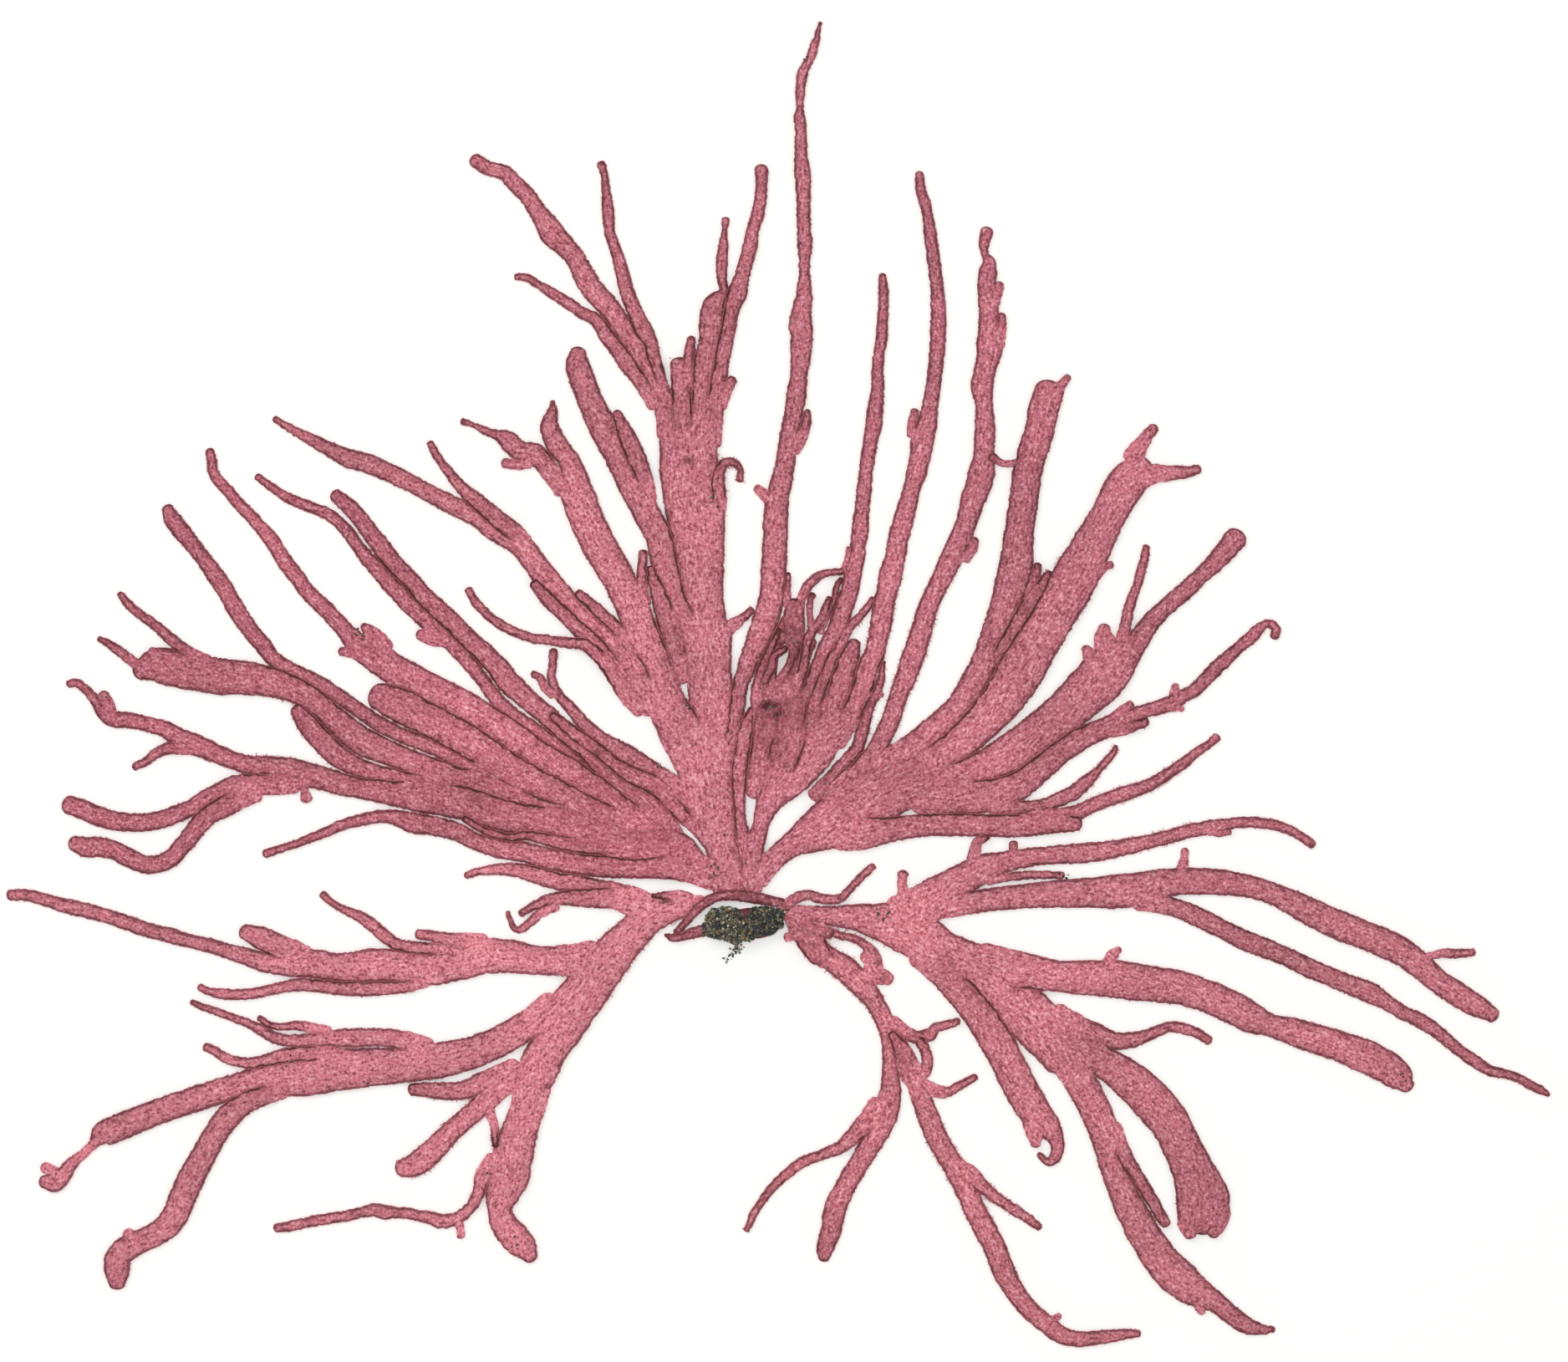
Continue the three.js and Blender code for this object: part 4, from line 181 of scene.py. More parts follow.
    "frond_left_low": """
-21.8,-18,3.8 -21,-16,4.1 -20,-14,4 -18.6,-12,4.3 -17.6,-10,4.8 -16.2,-8.1,4.7 -14.6,-6,4.4
-12.9,-3.8,4 -11,-1.9,3.5 -9.3,-.6,2.9 -7.3,.1,2.3 -5.6,.6,1.8 -4.3,1,1.4;
-28.4,3.7,.7 -27,4.1,.8 -24.9,4.3,1.2 -23,4.2,1.5 -21.2,3.7,1.7 -19.1,3.1,1.8 -17,2.8,1.9
-15,2.3,2 -13,1.9,2.1 -11,1.1,2.6 -9.6,.3,2.6;
-24.2,-.1,.4 -23.9,-1,.5 -23.3,-1.9,.6 -22.5,-1.6,.8 -21.6,-.8,.9 -20.7,-.1,.9
-19.3,.6,1.2;
-22.8,-.2,.7 -22,.3,.8 -20.9,.85,1 -19.6,1.3,1.2 -18,1.4,1.6 -16.4,1.4,1.9 -14.9,1.4,2.1
-13,1.3,2.2 -11,.5,2.6;
-9.3,1.6,.5 -8,1.6,.9 -6.6,1.5,1.3 -5.4,1.2,1.2;
-75.1,1.7,1.1 -73.9,1.7,1.1 -72.3,1.4,1.2 -70.7,.9,1.3 -69.1,.5,1.5 -67,0,1.5 -64.9,-.6,1.4
-62.8,-1.3,1.5 -60.7,-2,1.5 -58.6,-2.5,1.5 -56.5,-3.1,1.4 -54.7,-3.5,1.5 -52.8,-4.1,1.5
-50.7,-4.7,1.8 -49.2,-5.2,2 -46.5,-5.2,3 -44,-5.4,2.9 -41,-5.7,2.95 -38,-5.5,3.4 -35,-5.6,3.3
-32,-5.9,3.2 -29,-5.5,3 -26.5,-4.6,3.6 -24,-4.6,3.4 -21,-5,2.9 -18,-5,3.2 -15.5,-4.8,3.6;
-33.3,-2.35,1 -32,-2.5,1.1 -30.1,-2.9,1.4 -28.3,-3,1.6 -26.7,-3.2,1.9;
-43.1,1.7,.8 -42.2,.9,.7 -41,.2,.8 -39.4,-.5,1.1 -38.1,-1.4,1.3 -36.7,-2.6,1.3
-35.4,-3.4,1.2 -33.3,-3.7,1.2 -31.4,-3.8,1.2 -29.5,-4,1.4;
-51.1,-2.1,1.5 -49.7,-2.6,2.2 -48.1,-3.4,2.4 -46.5,-4,2.4 -45,-4.6,2.2;
-55.7,-7.8,.7 -54.7,-8.2,.8 -53.1,-8.5,1.1 -51.5,-8.5,1.1 -49.7,-8.3,1.1 -47.9,-7.9,1.1
-45.7,-7.5,1.3 -43.9,-7.6,1.3 -42.1,-7.8,1.4 -40.2,-7.9,1.5 -38.1,-7.9,1.5 -36,-7.8,1.3
-34.1,-7.6,1.2 -32,-6.9,1.2;
-66.6,-23.8,1 -65.9,-22.9,2.2 -65.2,-22.6,2.7 -63,-21.7,2.7 -60,-20.5,2.6 -57,-19.5,2.6
-54,-18.5,2.6 -51,-17.6,2.6 -48,-17.1,3.4 -45,-16.8,4.2 -42,-16.3,4.2 -39,-16,4 -36,-15.8,3.7
-33,-15.5,3.6 -31,-15.2,3.6 -28,-14.5,3.3 -25,-13.3,3.1 -22,-11.5,3 -19.5,-9.9,3.6;
-71.7,-27.7,1.3 -70.7,-27.7,2.1 -69.7,-27,1.7 -68.9,-25.9,1.3 -67.8,-24.9,.9 -66.6,-23.8,1;
-71.6,-26.2,1.1 -70.6,-26.7,1.1;
-56.5,-9.3,.6 -55.4,-9.8,.7 -53.9,-10.3,.8 -52.3,-10.9,.8 -50.7,-11.5,.9 -49.4,-12.2,1.1
-48.1,-12.9,1.2 -46.8,-13.2,1.2 -45,-13.2,1.3 -42.9,-13,1.5 -40.2,-12.95,1.9 -37,-12.9,1.8
-34.5,-13.3,2 -32.5,-14,2.2;
-49.6,-10.9,.6 -48.6,-11.6,.7 -47.3,-11.8,.7 -45.7,-11.7,.9 -44.1,-12,1.1 -42.6,-12.3,1.1;
-55.1,-13.9,.8 -54.2,-14.3,.9 -53.1,-15,1 -51.8,-15.4,1 -50.5,-15.5,1.1 -48.9,-15.2,1.2
-46.8,-14.7,1.5 -44.1,-14.5,1.5 -41.5,-14.6,1.5;
-64.2,-38,1.8 -64.2,-36.8,2.6 -64.1,-35.4,2.6 -62.9,-34.3,2.6 -61.2,-33.5,2.4 -59.4,-32.5,2.5
-58.2,-31,2.7 -57.4,-29,2.8 -56.4,-26.9,2.7 -55.2,-24.7,2.5 -54,-22.6,2.5 -52.7,-20.9,2.5
-51,-19.6,2.2 -49,-18.8,2 -46.5,-18,1.8;
-63.1,-33,1.2 -62.5,-33.7,1.6;
-21.9,-35.3,1.6 -22.5,-34.4,2.6 -23.6,-33.2,3 -24.6,-32,2.7 -25,-30.5,2.5 -24.7,-28.8,3.6
-24.1,-27,4.2 -23.7,-25,4.1 -23.3,-23.5,4 -22.8,-22,3.6 -22.1,-20,3.5 -21.7,-18,3.8;
-33.9,-18.2,1.3 -32,-18.3,1.6 -30.1,-18.4,1.8 -28.6,-18.3,1.9 -27,-17.7,2.4 -25.4,-17.2,2.6
-23.4,-16.4,2.8;
-35,-26.3,1.8 -33.8,-26,2.4 -32.5,-25.1,2.5 -31.2,-23.8,2.3 -29.6,-22.2,2.1 -28,-20.8,2.1
-26.7,-19.6,2.3 -25.4,-18.4,2.3 -24,-17.2,2.4;
-25.4,-23.9,.7 -25.5,-22.8,.8 -25.7,-21.5,.9 -26.2,-20.3,1.2;
-47.9,-32.4,.8 -46.8,-32.3,1 -44.9,-31.9,1.1 -42.8,-31.5,1.1 -40.7,-31.2,1.1 -39.1,-30.8,1.1
-37.6,-30.6,1.4 -36.7,-30.8,1.5 -35.7,-30.8,1.2 -34.1,-31,1.1 -32.5,-31.3,1.2 -30.9,-31.7,1.5
-29.6,-31.5,1.3 -28.6,-30.9,1.2 -27.7,-29.9,1.2 -27.1,-28.5,1.3 -26.7,-27,1.6 -25.6,-25.4,1.8;
-29,-33.2,.8 -29.1,-32.3,.8 -29.4,-31.6,.9;
    """,
    "frond_right_fan": """
14.2,65.1,.7 14.3,63.6,1 14.3,62.1,1 14.2,60.5,1.1 14.1,58.6,1.2 13.85,57.2,1.1 13.7,55.4,1.2
13.7,53.6,1.3 13.5,51.7,1.6 13.3,49.9,1.7 13,48.3,1.5 12.7,46.4,1.5 12.5,44.9,1.4 12.3,43,1.5
12.1,41.2,1.5 11.9,39.1,1.7 11.7,37.5,1.6 11.5,35.9,1.8 11.2,35,1.85 10.9,33,1.8 10.2,31,1.9
9.5,29,1.8 8.5,27,1.8 7.6,25,1.6 6.8,23,1.4 5.7,21.4,1.7 4.7,20,2.2;
10.7,37.2,.5 10.6,36.2,.6 10.4,35.2,.8;
10,34,.5 9.5,33.2,.6 9.1,31.4,.6 8.4,29.9,.6 7.8,28.6,.7;
10,34.8,.7 8.7,34.7,.7 7.6,34.3,.9 6.7,33.5,1 6.1,32.6,.9 5.8,31.7,1 5.6,30.7,1.2;
5.4,30.8,1.6 4.4,29.2,1.8 3.3,27.4,1.5 2.7,25.4,1.5 2.6,23.4,1.7 3,21.4,2.4 3.2,19.4,2.6;
1.5,24.2,.8 1.3,22.4,1.2 1.4,20.4,1.4 1.5,18,1.6;
6.8,27.6,1.3 5.9,25.6,1.5 5.2,23.8,2 4.6,22,2.8 4.4,20,3.2;
3.6,28.8,.7 2.9,27.2,.9 1.9,25,1 1.4,23.2,1 1.3,21.6,1.2;
4.2,26.9,.7 3.1,26.2,.9 2.8,25,1 2.2,23.7,1 1.8,22.6,1.2 2,21.2,1.6;
5.1,26.9,.9 4.7,25.4,.8 4.1,24.3,.9 3.5,23.4,.9 2.8,22.4,1.2;
8.75,32,.7 8.4,31.1,.8 7.9,29.9,.9 7.1,28.8,1 6.5,27.7,1.1 6.3,26.2,1.1 6,24.6,1.1
5.4,23.2,1.2 4.6,22,1.3 3.6,21.2,1.4;
7,32.4,.7 6.7,31.4,.6 6.8,30.2,.6 6.9,29.2,.8;
4.5,34.5,.6 4.5,33.4,.6 4.5,32.2,.6 4.6,31.2,.9;
5.2,31.5,1.4 5.1,30.4,2.1 5.1,29,2.2 5.1,27.8,1.9 5.2,26.7,1.2;
10.2,27.2,1 9.1,26,1.2 8.5,24.5,1.3 7.8,22.9,1.4 7.3,21.2,1.6 7,19.6,1.9 6.6,18.4,1.6;
11.3,27.4,1.3 10.9,26.2,2 10.5,25,2.2 9.9,23,2.4 9.2,21,2.3 8.6,19.3,2.2;
13.2,32,.6 12.5,30.9,.8 11.7,30,.9 10.9,29.2,.9 10.4,28.2,.9 9.9,27.2,1;
14.2,25.5,.6 14.1,24,.7 13.7,22.6,1 12.9,21.1,1.1 12.4,19.5,1.2 12,18,1.3 11.6,16.8,1.3
10.8,15.8,1.3 9.8,14.8,1.2 8.9,13.7,1.2 8,12.8,1.3 7.2,11.8,1.5;
14.1,22.2,.6 13.4,22.2,.8;
2.5,21,1.4 2.3,19,2.6 2.2,17.4,3 1.7,15.8,2.7 1.2,14.2,2.1 .9,12.6,1.4;
3.1,20.9,1.4 2.6,19,3 2.3,16.6,3.2 1.7,14.2,2.6 1,12,1.6;
.8,20.6,.9 .3,19,1.4 -.1,17,1.6 -.4,15,1.7 -.5,13,1.5 -.5,11,1.2 -.4,9.4,1.2 -.1,8,1.5
.3,6.8,1.9 .5,5.2,1.8;
9.4,19.4,3.2 8,17.8,4.2 6.6,16.2,4.8 5.2,14.4,4.4 3.2,12.2,3.4 2.25,10.5,2.3 1.75,8.8,1.7
1.15,7,2 .8,5,2.2 .8,3.4,2.1 1,2.2,1.8;
5.2,21,2.4 4.9,19,3 4.4,16.8,3.4 3.6,14.6,3 2.8,12.4,2.6;
18,75.5,.8 18.1,74.1,1 18.5,72.6,1.1 18.9,71,1.1 19.1,69.4,1.3 19.3,67.8,1.3 19.5,66.3,1.3
19.7,64.7,1.3 19.85,63.1,1.4 19.9,61.5,1.5 19.9,60,1.6 19.85,58.1,1.6 19.6,55.4,1.5
19.4,53.8,1.5 19.1,52,1.6 18.8,50.1,2 18.4,48.8,2.3 18.1,47,2.2 17.7,45.1,2.1 17.2,43.3,1.8
16.7,41.4,1.9 16.2,39.6,2.1 15.8,38,2.1 15.5,36.2,2.1 15.1,34.6,2.4 14.7,33,2.2 14.3,31.2,2.2
14,29.4,2.2 13.7,27.8,2 13.3,26.2,2.1 12.7,25,2.1 12.2,23,2.2 11.4,21,2.2 10.5,19.3,2.3
9.3,17.6,2.6;
17.5,51.2,.8 17.2,50,.9 17.3,48.8,1.1;
24.9,69.6,1.3 24.6,68.4,1.1 24.7,67.3,.7 25.1,66.5,1.3 25,65.5,1.8 24.9,64.4,1.9 25,63.1,2.1
25.1,61.5,2 25.1,60,2.1 25.2,58.4,2.7 25.1,57,2.5 24.7,55.4,2.2 24.4,53.8,2.3 24.6,52,1.8
24.7,50.1,2 24.65,48.3,2.1 24.6,46.7,2.1 24.4,45.1,2.7 24,43.5,2.6 23.4,42,2.5 22.9,40.1,2.2
22.2,38.3,2.2 21.4,36.5,2.3 20.5,34.6,2.1 19.7,33,2 19,31.5,2 18.5,30,2.1 17.9,27.8,2.2
17.2,25.7,2.3 16.6,24,2.1 15.8,22,1.9 15.2,20,1.9 14.3,18,1.9 13.5,16.5,1.9 12.3,15,2
11,13.5,2.2 9.4,12,2.4;
26.2,64.2,.8 26,63.3,.9 25.6,62.4,1.2;
26.4,61,.8 26.4,59.5,.9 26.2,58,1;
25.4,46.5,.9 26.5,45.9,.6 27.9,45.9,.8;
23.6,38,.9 23.4,37.2,1.1 22.6,36.2,1.3;
31.2,53.2,3 30.7,51.4,3.1 30.4,49.9,3 30,48.3,3 29.4,46.4,3 29,44.9,3 28.8,43,2.9 28.5,41.2,3
28.25,39.3,3 28.1,37.5,3.1 27.9,35.7,3.4 27.5,33.8,3.4 26.9,32,3.1 26.2,30,2.8 25.5,28,2.7
24.8,26,2.7 23.6,23.6,2.7 22.1,21.2,2.6 20.2,19.2,2.8 18.3,17.5,3 16.4,15.9,3.4 14.2,14,3.8;
33.2,54.7,.7 32.5,53.9,1 31.9,52.7,1.4;
30.1,35.4,.8 29.8,34,1 29.2,32.6,1.2;
40.6,45.2,3.2 39.4,44.1,3.9 37.8,41.5,3.7 36.5,39,3.8 35.2,36.6,4.3 33.8,34,4.7 32.4,31.8,4.9
31,29.5,4.9 29.8,27.4,4.8 28.6,25.1,4.8 27.3,22.9,4.5 25.8,20.9,4.1 24,19,3.8 22,17.2,3.4
19.5,15.4,3.2 17,13.8,3.6;
37.6,35.5,.7 36.8,35.2,.9 35.8,34.2,1.2;
31.2,34.6,.8 29.3,31.6,1.6 27.2,28.2,1.4 25,24.6,1;
17.5,13.4,4.6 14.5,12,5.2 11.8,10.6,6 9.4,9.3,5.6 7.2,8.1,4.2 5.2,7,2.7 3.6,5.8,2.3 2.3,4.5,2.3
1.5,3.2,2;
50.4,38.2,2.3 49.3,36.9,2.2 48.2,35.7,1.9 46.9,34.5,1.7 45.6,33.2,1.8 44.2,32,1.8 42.8,30.8,1.8
41.6,29.5,2 40.6,28.1,2.2 39.5,26.8,3 38.2,25.6,4.4 36.8,24.2,5 34.8,22.2,4.7 32.7,20.2,4.3
30,18.1,4.2 27.6,16.4,4 24.7,14.8,3.4 21.5,13.5,3.4 18.5,12.6,4;
54.4,28.2,.9 54.5,28.8,1 54.1,29.4,.9 53.4,29.4,.8 52.7,28.9,1.1 52,28.1,1.3 51,27.3,1.2
49.9,26.3,1.3 48.7,25.2,1.5 47.3,23.8,1.4 46.2,22.7,1.4 45.1,22.1,1.3 43.9,21.4,1.6
42.5,20.9,1.5 41.1,20.5,1.4 39.8,20,1.7 38,19.2,2.1 36,18.4,2.2 34,17.4,2.4 32.3,16.2,2.4
30.7,14.9,2.6 29,13.5,2.8 27.2,12.4,3.2 24.5,11.8,3.4 21.5,11.8,3.6 18,12,4;
39.6,21.2,.8 38.9,20.6,1.1 37.8,19.7,1.2;
38.1,16.9,.4 37.8,16.2,.7 36.5,14.7,.8 35.2,13.4,1.3 33.9,12.3,1.5 32.6,11.6,1.5 31,11,1.3
29.4,10.7,1.3 27.9,10.7,1.5 25.5,10.9,2;
48.4,17.8,.9 47.6,17.1,.8 46.5,16.4,.9 45.3,15.4,1.1 44.2,14.6,1.1 42.8,13.7,1.2
41.4,12.9,1.3 40,12.4,1.4 38.2,11.8,1.5 36,11,1.5 34,10.1,1.6 32,9.6,1.9 29.5,9.5,2;
34,9,1.6 31.5,9,2 28.5,8.8,2.3 25,8.8,2.3 21.5,8.9,2.3 18,8.8,2.3 15,8.4,2.6 12,8,3.4 9.5,8,3.4;
42,49.5,1 41.4,48.8,1.2 40.6,47.7,1.6 39.9,46.4,2.3;
46.5,45.3,.9 45.4,45,1.2 43.7,44.9,1.5 42,44.8,2 40.6,44.6,3;
41.2,37.3,.7 41,36,.9 40.7,34.9,1 40.3,33.4,.9 39.9,32.4,1 39.4,30.9,1.1 39.1,29.4,1.1
38.8,28,1.4 38.6,26.6,1.6;
36.9,29,1.2 36.9,27.9,2.1 37.2,26.4,2.6;
35,26.9,.9 35.6,25.9,1.8 36.4,24.8,2.4;
44.2,23.1,.7 44.1,22.2,1.1;
44.9,20.8,.6 43.8,20.9,1;
41.1,19.4,1 40.2,19.1,1.1 39,18.7,1.2 37.6,18.4,1.2;
    """,
    "frond_right_low": """
32.6,-14.4,4.8 30.5,-12,5.2 28,-9.4,5.4 25.5,-7,5.6 22.5,-5.2,4.6 20,-3.9,4.4 17.5,-2.2,5
15.3,-1.3,4.6 13.5,-1,3.6 11.5,-.6,2.7 9.5,-.5,2.1 7.6,-.3,1.7 6.1,-.1,1.4 4.9,.1,1.2;
13.2,4.6,.7 12.4,3.9,.8 11.5,3,.8 10.7,2.1,.8 9.8,1.3,.9 8,1.3,1 6.6,1.7,1 5.4,1.4,1.1
4.3,.7,1 3.5,.5,.8;
16.3,3.8,1.1 16.2,3,.9 16.3,2.1,1.1 16.4,1,1.6;
58.2,6.9,.9 56.9,7.8,.9 55.5,8.5,1 54.1,8.9,1.1 52.4,9.1,1.1 50.7,9.1,1.1 49.3,8.9,1.2
47.6,8.6,1.4 45.6,8.2,1.4 43.7,7.7,1.4 41.7,7.2,1.4 40,6.8,1.6 38,6.4,1.8 35,6,2 32,5.8,1.9
29,5.5,1.9 26.5,5,2.2 24.3,4.3,3 22,3,3.4 20,1.8,3.8 18,.4,4.4 16,-.6,4.4;
24.9,7.6,.7 24,7.2,1 23.7,6.3,1.2 23.6,5.2,1.6;
27.6,6.9,.9 27.6,5.8,.8 27.5,4.6,.8;
32.6,3.7,.7 30.5,3.75,.8 28.4,3.7,.9 26.8,3.5,.9 25,3.3,1.2;
76.7,-10.6,1.5 75.5,-9.9,2.1 74.1,-9.1,2.4 72.7,-8.2,2.5 71.3,-7.3,2.4 70.1,-6.3,2.5 69,-5.3,2.7
67.5,-4.2,2.8 66,-3.4,3 64,-2.6,2.9 62,-1.8,3 60,-1,2.9 58,0,2.8 56,1,2.5 54,1.9,2.2
51.5,2.6,2.3 48.5,3,2.6 45.6,3.1,2.7 43,2.9,2.9 40.5,2.3,3.4 38,2.05,3.4 35,1.9,3 32,1.8,2.8
29,1.6,2.5 26,1.3,2.4 23,.9,2.4 20,.6,2.8;
67.9,-17.8,1.6 67.2,-17,2.9 65.8,-15.9,3.3 63.8,-14.9,3.4 61.3,-13.9,3.2 58.5,-13,3
56.2,-12.3,2.8 54,-11.7,2.3 52,-10.9,3.1 50,-9.8,3.3 47.5,-8.7,3.3 45,-7.9,3.4 42.5,-7.5,3.6
40,-7.2,3.8 38,-6.9,3.8 35,-6.8,3.5 32,-6.6,3.2 29.5,-6.2,3.6 27,-5.8,4 24.5,-5.4,4.4;
38.4,-3.9,.7 37.8,-4.5,1.2 37.5,-5.4,1.8;
47.6,-13.2,.9 46.5,-12.5,1 45.4,-12.1,1.1 43.9,-11.8,1.1 42.5,-12.2,1.1 41.1,-12.8,1.3
39.5,-13.2,1.6 37.8,-13.2,1.8 36,-12.4,2 34,-11.8,2.6 32,-11,3.2;
30.3,-24.9,.6 31,-25.6,.8 31.7,-25.4,1.1 32.1,-24.5,1.3 32,-23.4,1.6 31.2,-22.1,2.6
29.8,-20.5,3.3 28.3,-18,3.5 26.9,-15.2,3.4 25.4,-12.5,3.4 23.7,-10,3.2 21.9,-7.9,3.1 20,-5.9,3
18.2,-4.2,3.2;
29.9,-23.8,1 29.8,-22.8,1.8 29.8,-21.4,2.6;
82.4,-18.8,.4 81.7,-18.3,.8 80.6,-17.8,.9 79.2,-17,.9 77.8,-16.6,1 76.4,-16.3,1.1
75,-15.4,1.3 73.6,-14.5,1.2 72.2,-13.3,1.3 70.7,-12.1,1.4 69.3,-11.2,1.5 67.6,-10.4,1.4
66,-9.4,1.6 64.3,-8.4,2.1 62.6,-7.7,2 59.9,-6.6,1.9 57.5,-5.6,1.9 55.5,-4.6,1.9 53,-3.6,2
51,-2.8,2 49,-1.8,1.9 47,-.8,2 45,.1,1.9 43,.7,1.9 40.5,1.3,2.4;
45.2,6.2,.8 45.1,5.4,.8 44.9,4.4,1.2;
74.7,-4.2,.7 73.3,-4.3,.9 71.6,-4.3,.9 70.6,-4.5,.7 69.6,-4.8,1.2;
49.8,8.1,.4 48.9,8,.7 47.8,8.2,.9;
47,-31,5.1 47,-29.4,5.5 46.2,-27,4.5 45.2,-24.8,4 44,-22.3,4 42.5,-20.2,4.2 40.7,-18.3,4.1
38.8,-16.7,3.7 37,-15.5,3.3 35.2,-14.4,3.3 33.4,-13.6,3.6;
45.7,-33,1.3 45.4,-32,1.8 45.4,-30.8,2;
48,-32.9,1.2 48.9,-31.7,1.5 49,-30.4,1.7;
54.2,-42.8,.6 53,-42.8,1.1 51.5,-42.4,1.7 49.8,-41.2,1.9 48.3,-40,2.2 46.3,-38.9,3.2
44.6,-37.6,3.8 43,-36,3.6 41.6,-34,3.4 40.4,-32,3.3 39.2,-29.6,3 38.2,-27.4,2.6 37.6,-25.2,2.8
37,-23,3 36.3,-21,3.2 35.2,-18.8,3.2 34,-16.6,3.4 32.8,-14.6,4;
43.2,-31.9,1 42.6,-31,1.2 41.7,-29.4,1.3 40.6,-27.6,1.4 39.5,-25.9,1.5 38.5,-24,1.7
37.7,-22.2,2;
46.9,-41,.8 46.6,-40.2,1.2;
    """,
    "frond_low_centre": """
8.2,-35.4,1.2 8.4,-34.2,1.9 9,-32.4,2.1 9.3,-30.6,2.3 10.2,-28.6,2.1 11.3,-26.6,2.1
12.4,-24.8,2.1 13.4,-22.9,2.6 14.4,-20.8,2.7 15,-18.6,2.2 15,-16.4,1.7 15,-14.4,1.7
14.8,-12.6,1.7 14.2,-10.8,1.9 13.2,-9,2.1 11.9,-7.4,2.5 10.4,-5.9,2.6 8.8,-4.8,2.3 7.5,-3.9,2
6.4,-2.9,1.8 5.7,-2,1.5;
.3,-32.6,.6 .9,-31.2,.8 1.7,-29.9,.8 2.9,-28.3,.9 4.4,-26.9,1 6,-25.7,1.1 8,-24.9,1.1
9.8,-24.2,1.3 11.3,-22.9,1.7 12.8,-21.4,2.2 13.9,-19.9,2.4;
21.9,-11.2,.7 20.9,-11.6,.9 19.7,-11.9,1 19,-12.6,1.3 17.8,-12.9,1.3 16.4,-12.3,1.4
15.2,-11.3,1.4;
18,-13.2,1 18.7,-14.6,1.1 18.7,-16,1.2 17.9,-17,1.2 16.8,-17.6,1;
15.6,-12.6,1.2 15.9,-14.6,1.2 16.5,-16.4,1.3 17,-17.2,1.4;
40.4,-43.2,.7 38.8,-43.3,1.1 36.6,-43.6,1.4 34.2,-43.8,1.6 32.4,-43.3,1.8 30.8,-42.1,1.9
29.3,-40.8,1.9 27.9,-39.1,2 26.7,-37,2.3 25.8,-34.7,2.3 24.6,-32.3,2.3 23.4,-30,2.2
22.4,-27.6,2.4 21.2,-25.6,2.2 20,-23.6,2.2 19.1,-21.6,2.2 18.4,-19.7,2.1 17.7,-18,1.8
17.3,-16.6,1.6;
30.2,-32.3,.8 28.9,-31.3,1 27.3,-30.3,1.1 25.8,-29.3,1.2 24.4,-28.1,1.4 23.4,-27,1.6
22,-26,1.6;
23.7,-17,.7 22.9,-17.4,.8 21.8,-18,.9 20.8,-18.5,1.1 19.7,-18.4,1.3 18.4,-17.9,1.5;
32.3,-41.4,.6 31.5,-41.9,.9;
4.4,-2.7,.8 5.1,-2.5,.9 5.9,-2.2,1.1;
7.9,-5.4,.9 8.4,-4.8,1.2;
8.6,-1.9,.7 10,-2.5,.8 11.4,-2.8,.8 12.5,-3.5,1 13.2,-4.6,1.6 13.3,-6,2;
12.4,-4.7,1.2 13.4,-4.6,1.6;
14.8,-6.9,1.3 14,-6.6,1.7 13,-6.6,1.8;
7.7,-4.4,2.4 6.9,-3,2.9 5.8,-1.7,2.4 4.7,-.3,1.5;
8.8,-2.2,1.1 7.6,-1.8,1.6 6.4,-1.9,1.4;
15.2,-12.6,1 16.4,-14.4,1.7 17.6,-16.6,1.6;
    """,
}

strap = {
    "step": 0.24,  # mm between rows
    "capRows": 5,  # rows in the rounded tip
    "columns": 10,  # faces across a wide strap
    "columnsSlim": 6,
    "slimWidth": 1.5,
    "thicknessBase": 0.3,
    "thicknessGain": 0.14,
    "thinnest": 0.4,
    "thickest": 0.95,
    "edgeHeight": 0.45,  # where the margin sits, as a share of the thickness
    "edgeHalf": 0.03,  # half thickness of the margin itself
    "waviness": 0.05,  # slow change of width, as a share
    "wavePitch": 1.3,
    "spread": 0.035,  # added to each side for what the teeth leave out
    "ragged": 0.12,  # fine unevenness of the margin
    "raggedPitch": 5.0,
    "slimmest": 0.12,  # least half width
    "tip": 0.42,  # length of the rounded tip, as a share of the width there
    "root": 0.3,
    "rootRows": 3,
    "fine": 0.1,  # mm between the points of the smooth curve
    "turnOver": 0.4,  # mm each way over which the direction is taken
    "endThickness": 0.35,  # at the very end, as a share
    "rootLength": 2.2,  # a branch rises out of its parent over this length
    "rootGain": 0.5,
    "rootRise": 0.35,  # where on that length it starts to rise
}

ground = {"height": 0.07, "swell": 0.05, "pitchX": 9.0, "pitchY": 11.0, "phase": 0.7}

stack = {
    "cell": 0.5,  # mm, of the height map that the straps are draped over
    "margin": 4.0,
    "tallest": 2.3,
    "darken": 0.17,  # painted shade for each strap that lies below, in place of light through doubled tissue
    "most": 3,  # straps below that count
    "thinned": 0.2,  # thickness that is left on the tallest stack, as a share
}


def parseCourses(text):
    branches = []
    for chunk in text.split(";"):
        points = [tuple(float(v) for v in item.split(",")) for item in chunk.split()]
        if points:
            branches.append(points)
    return branches


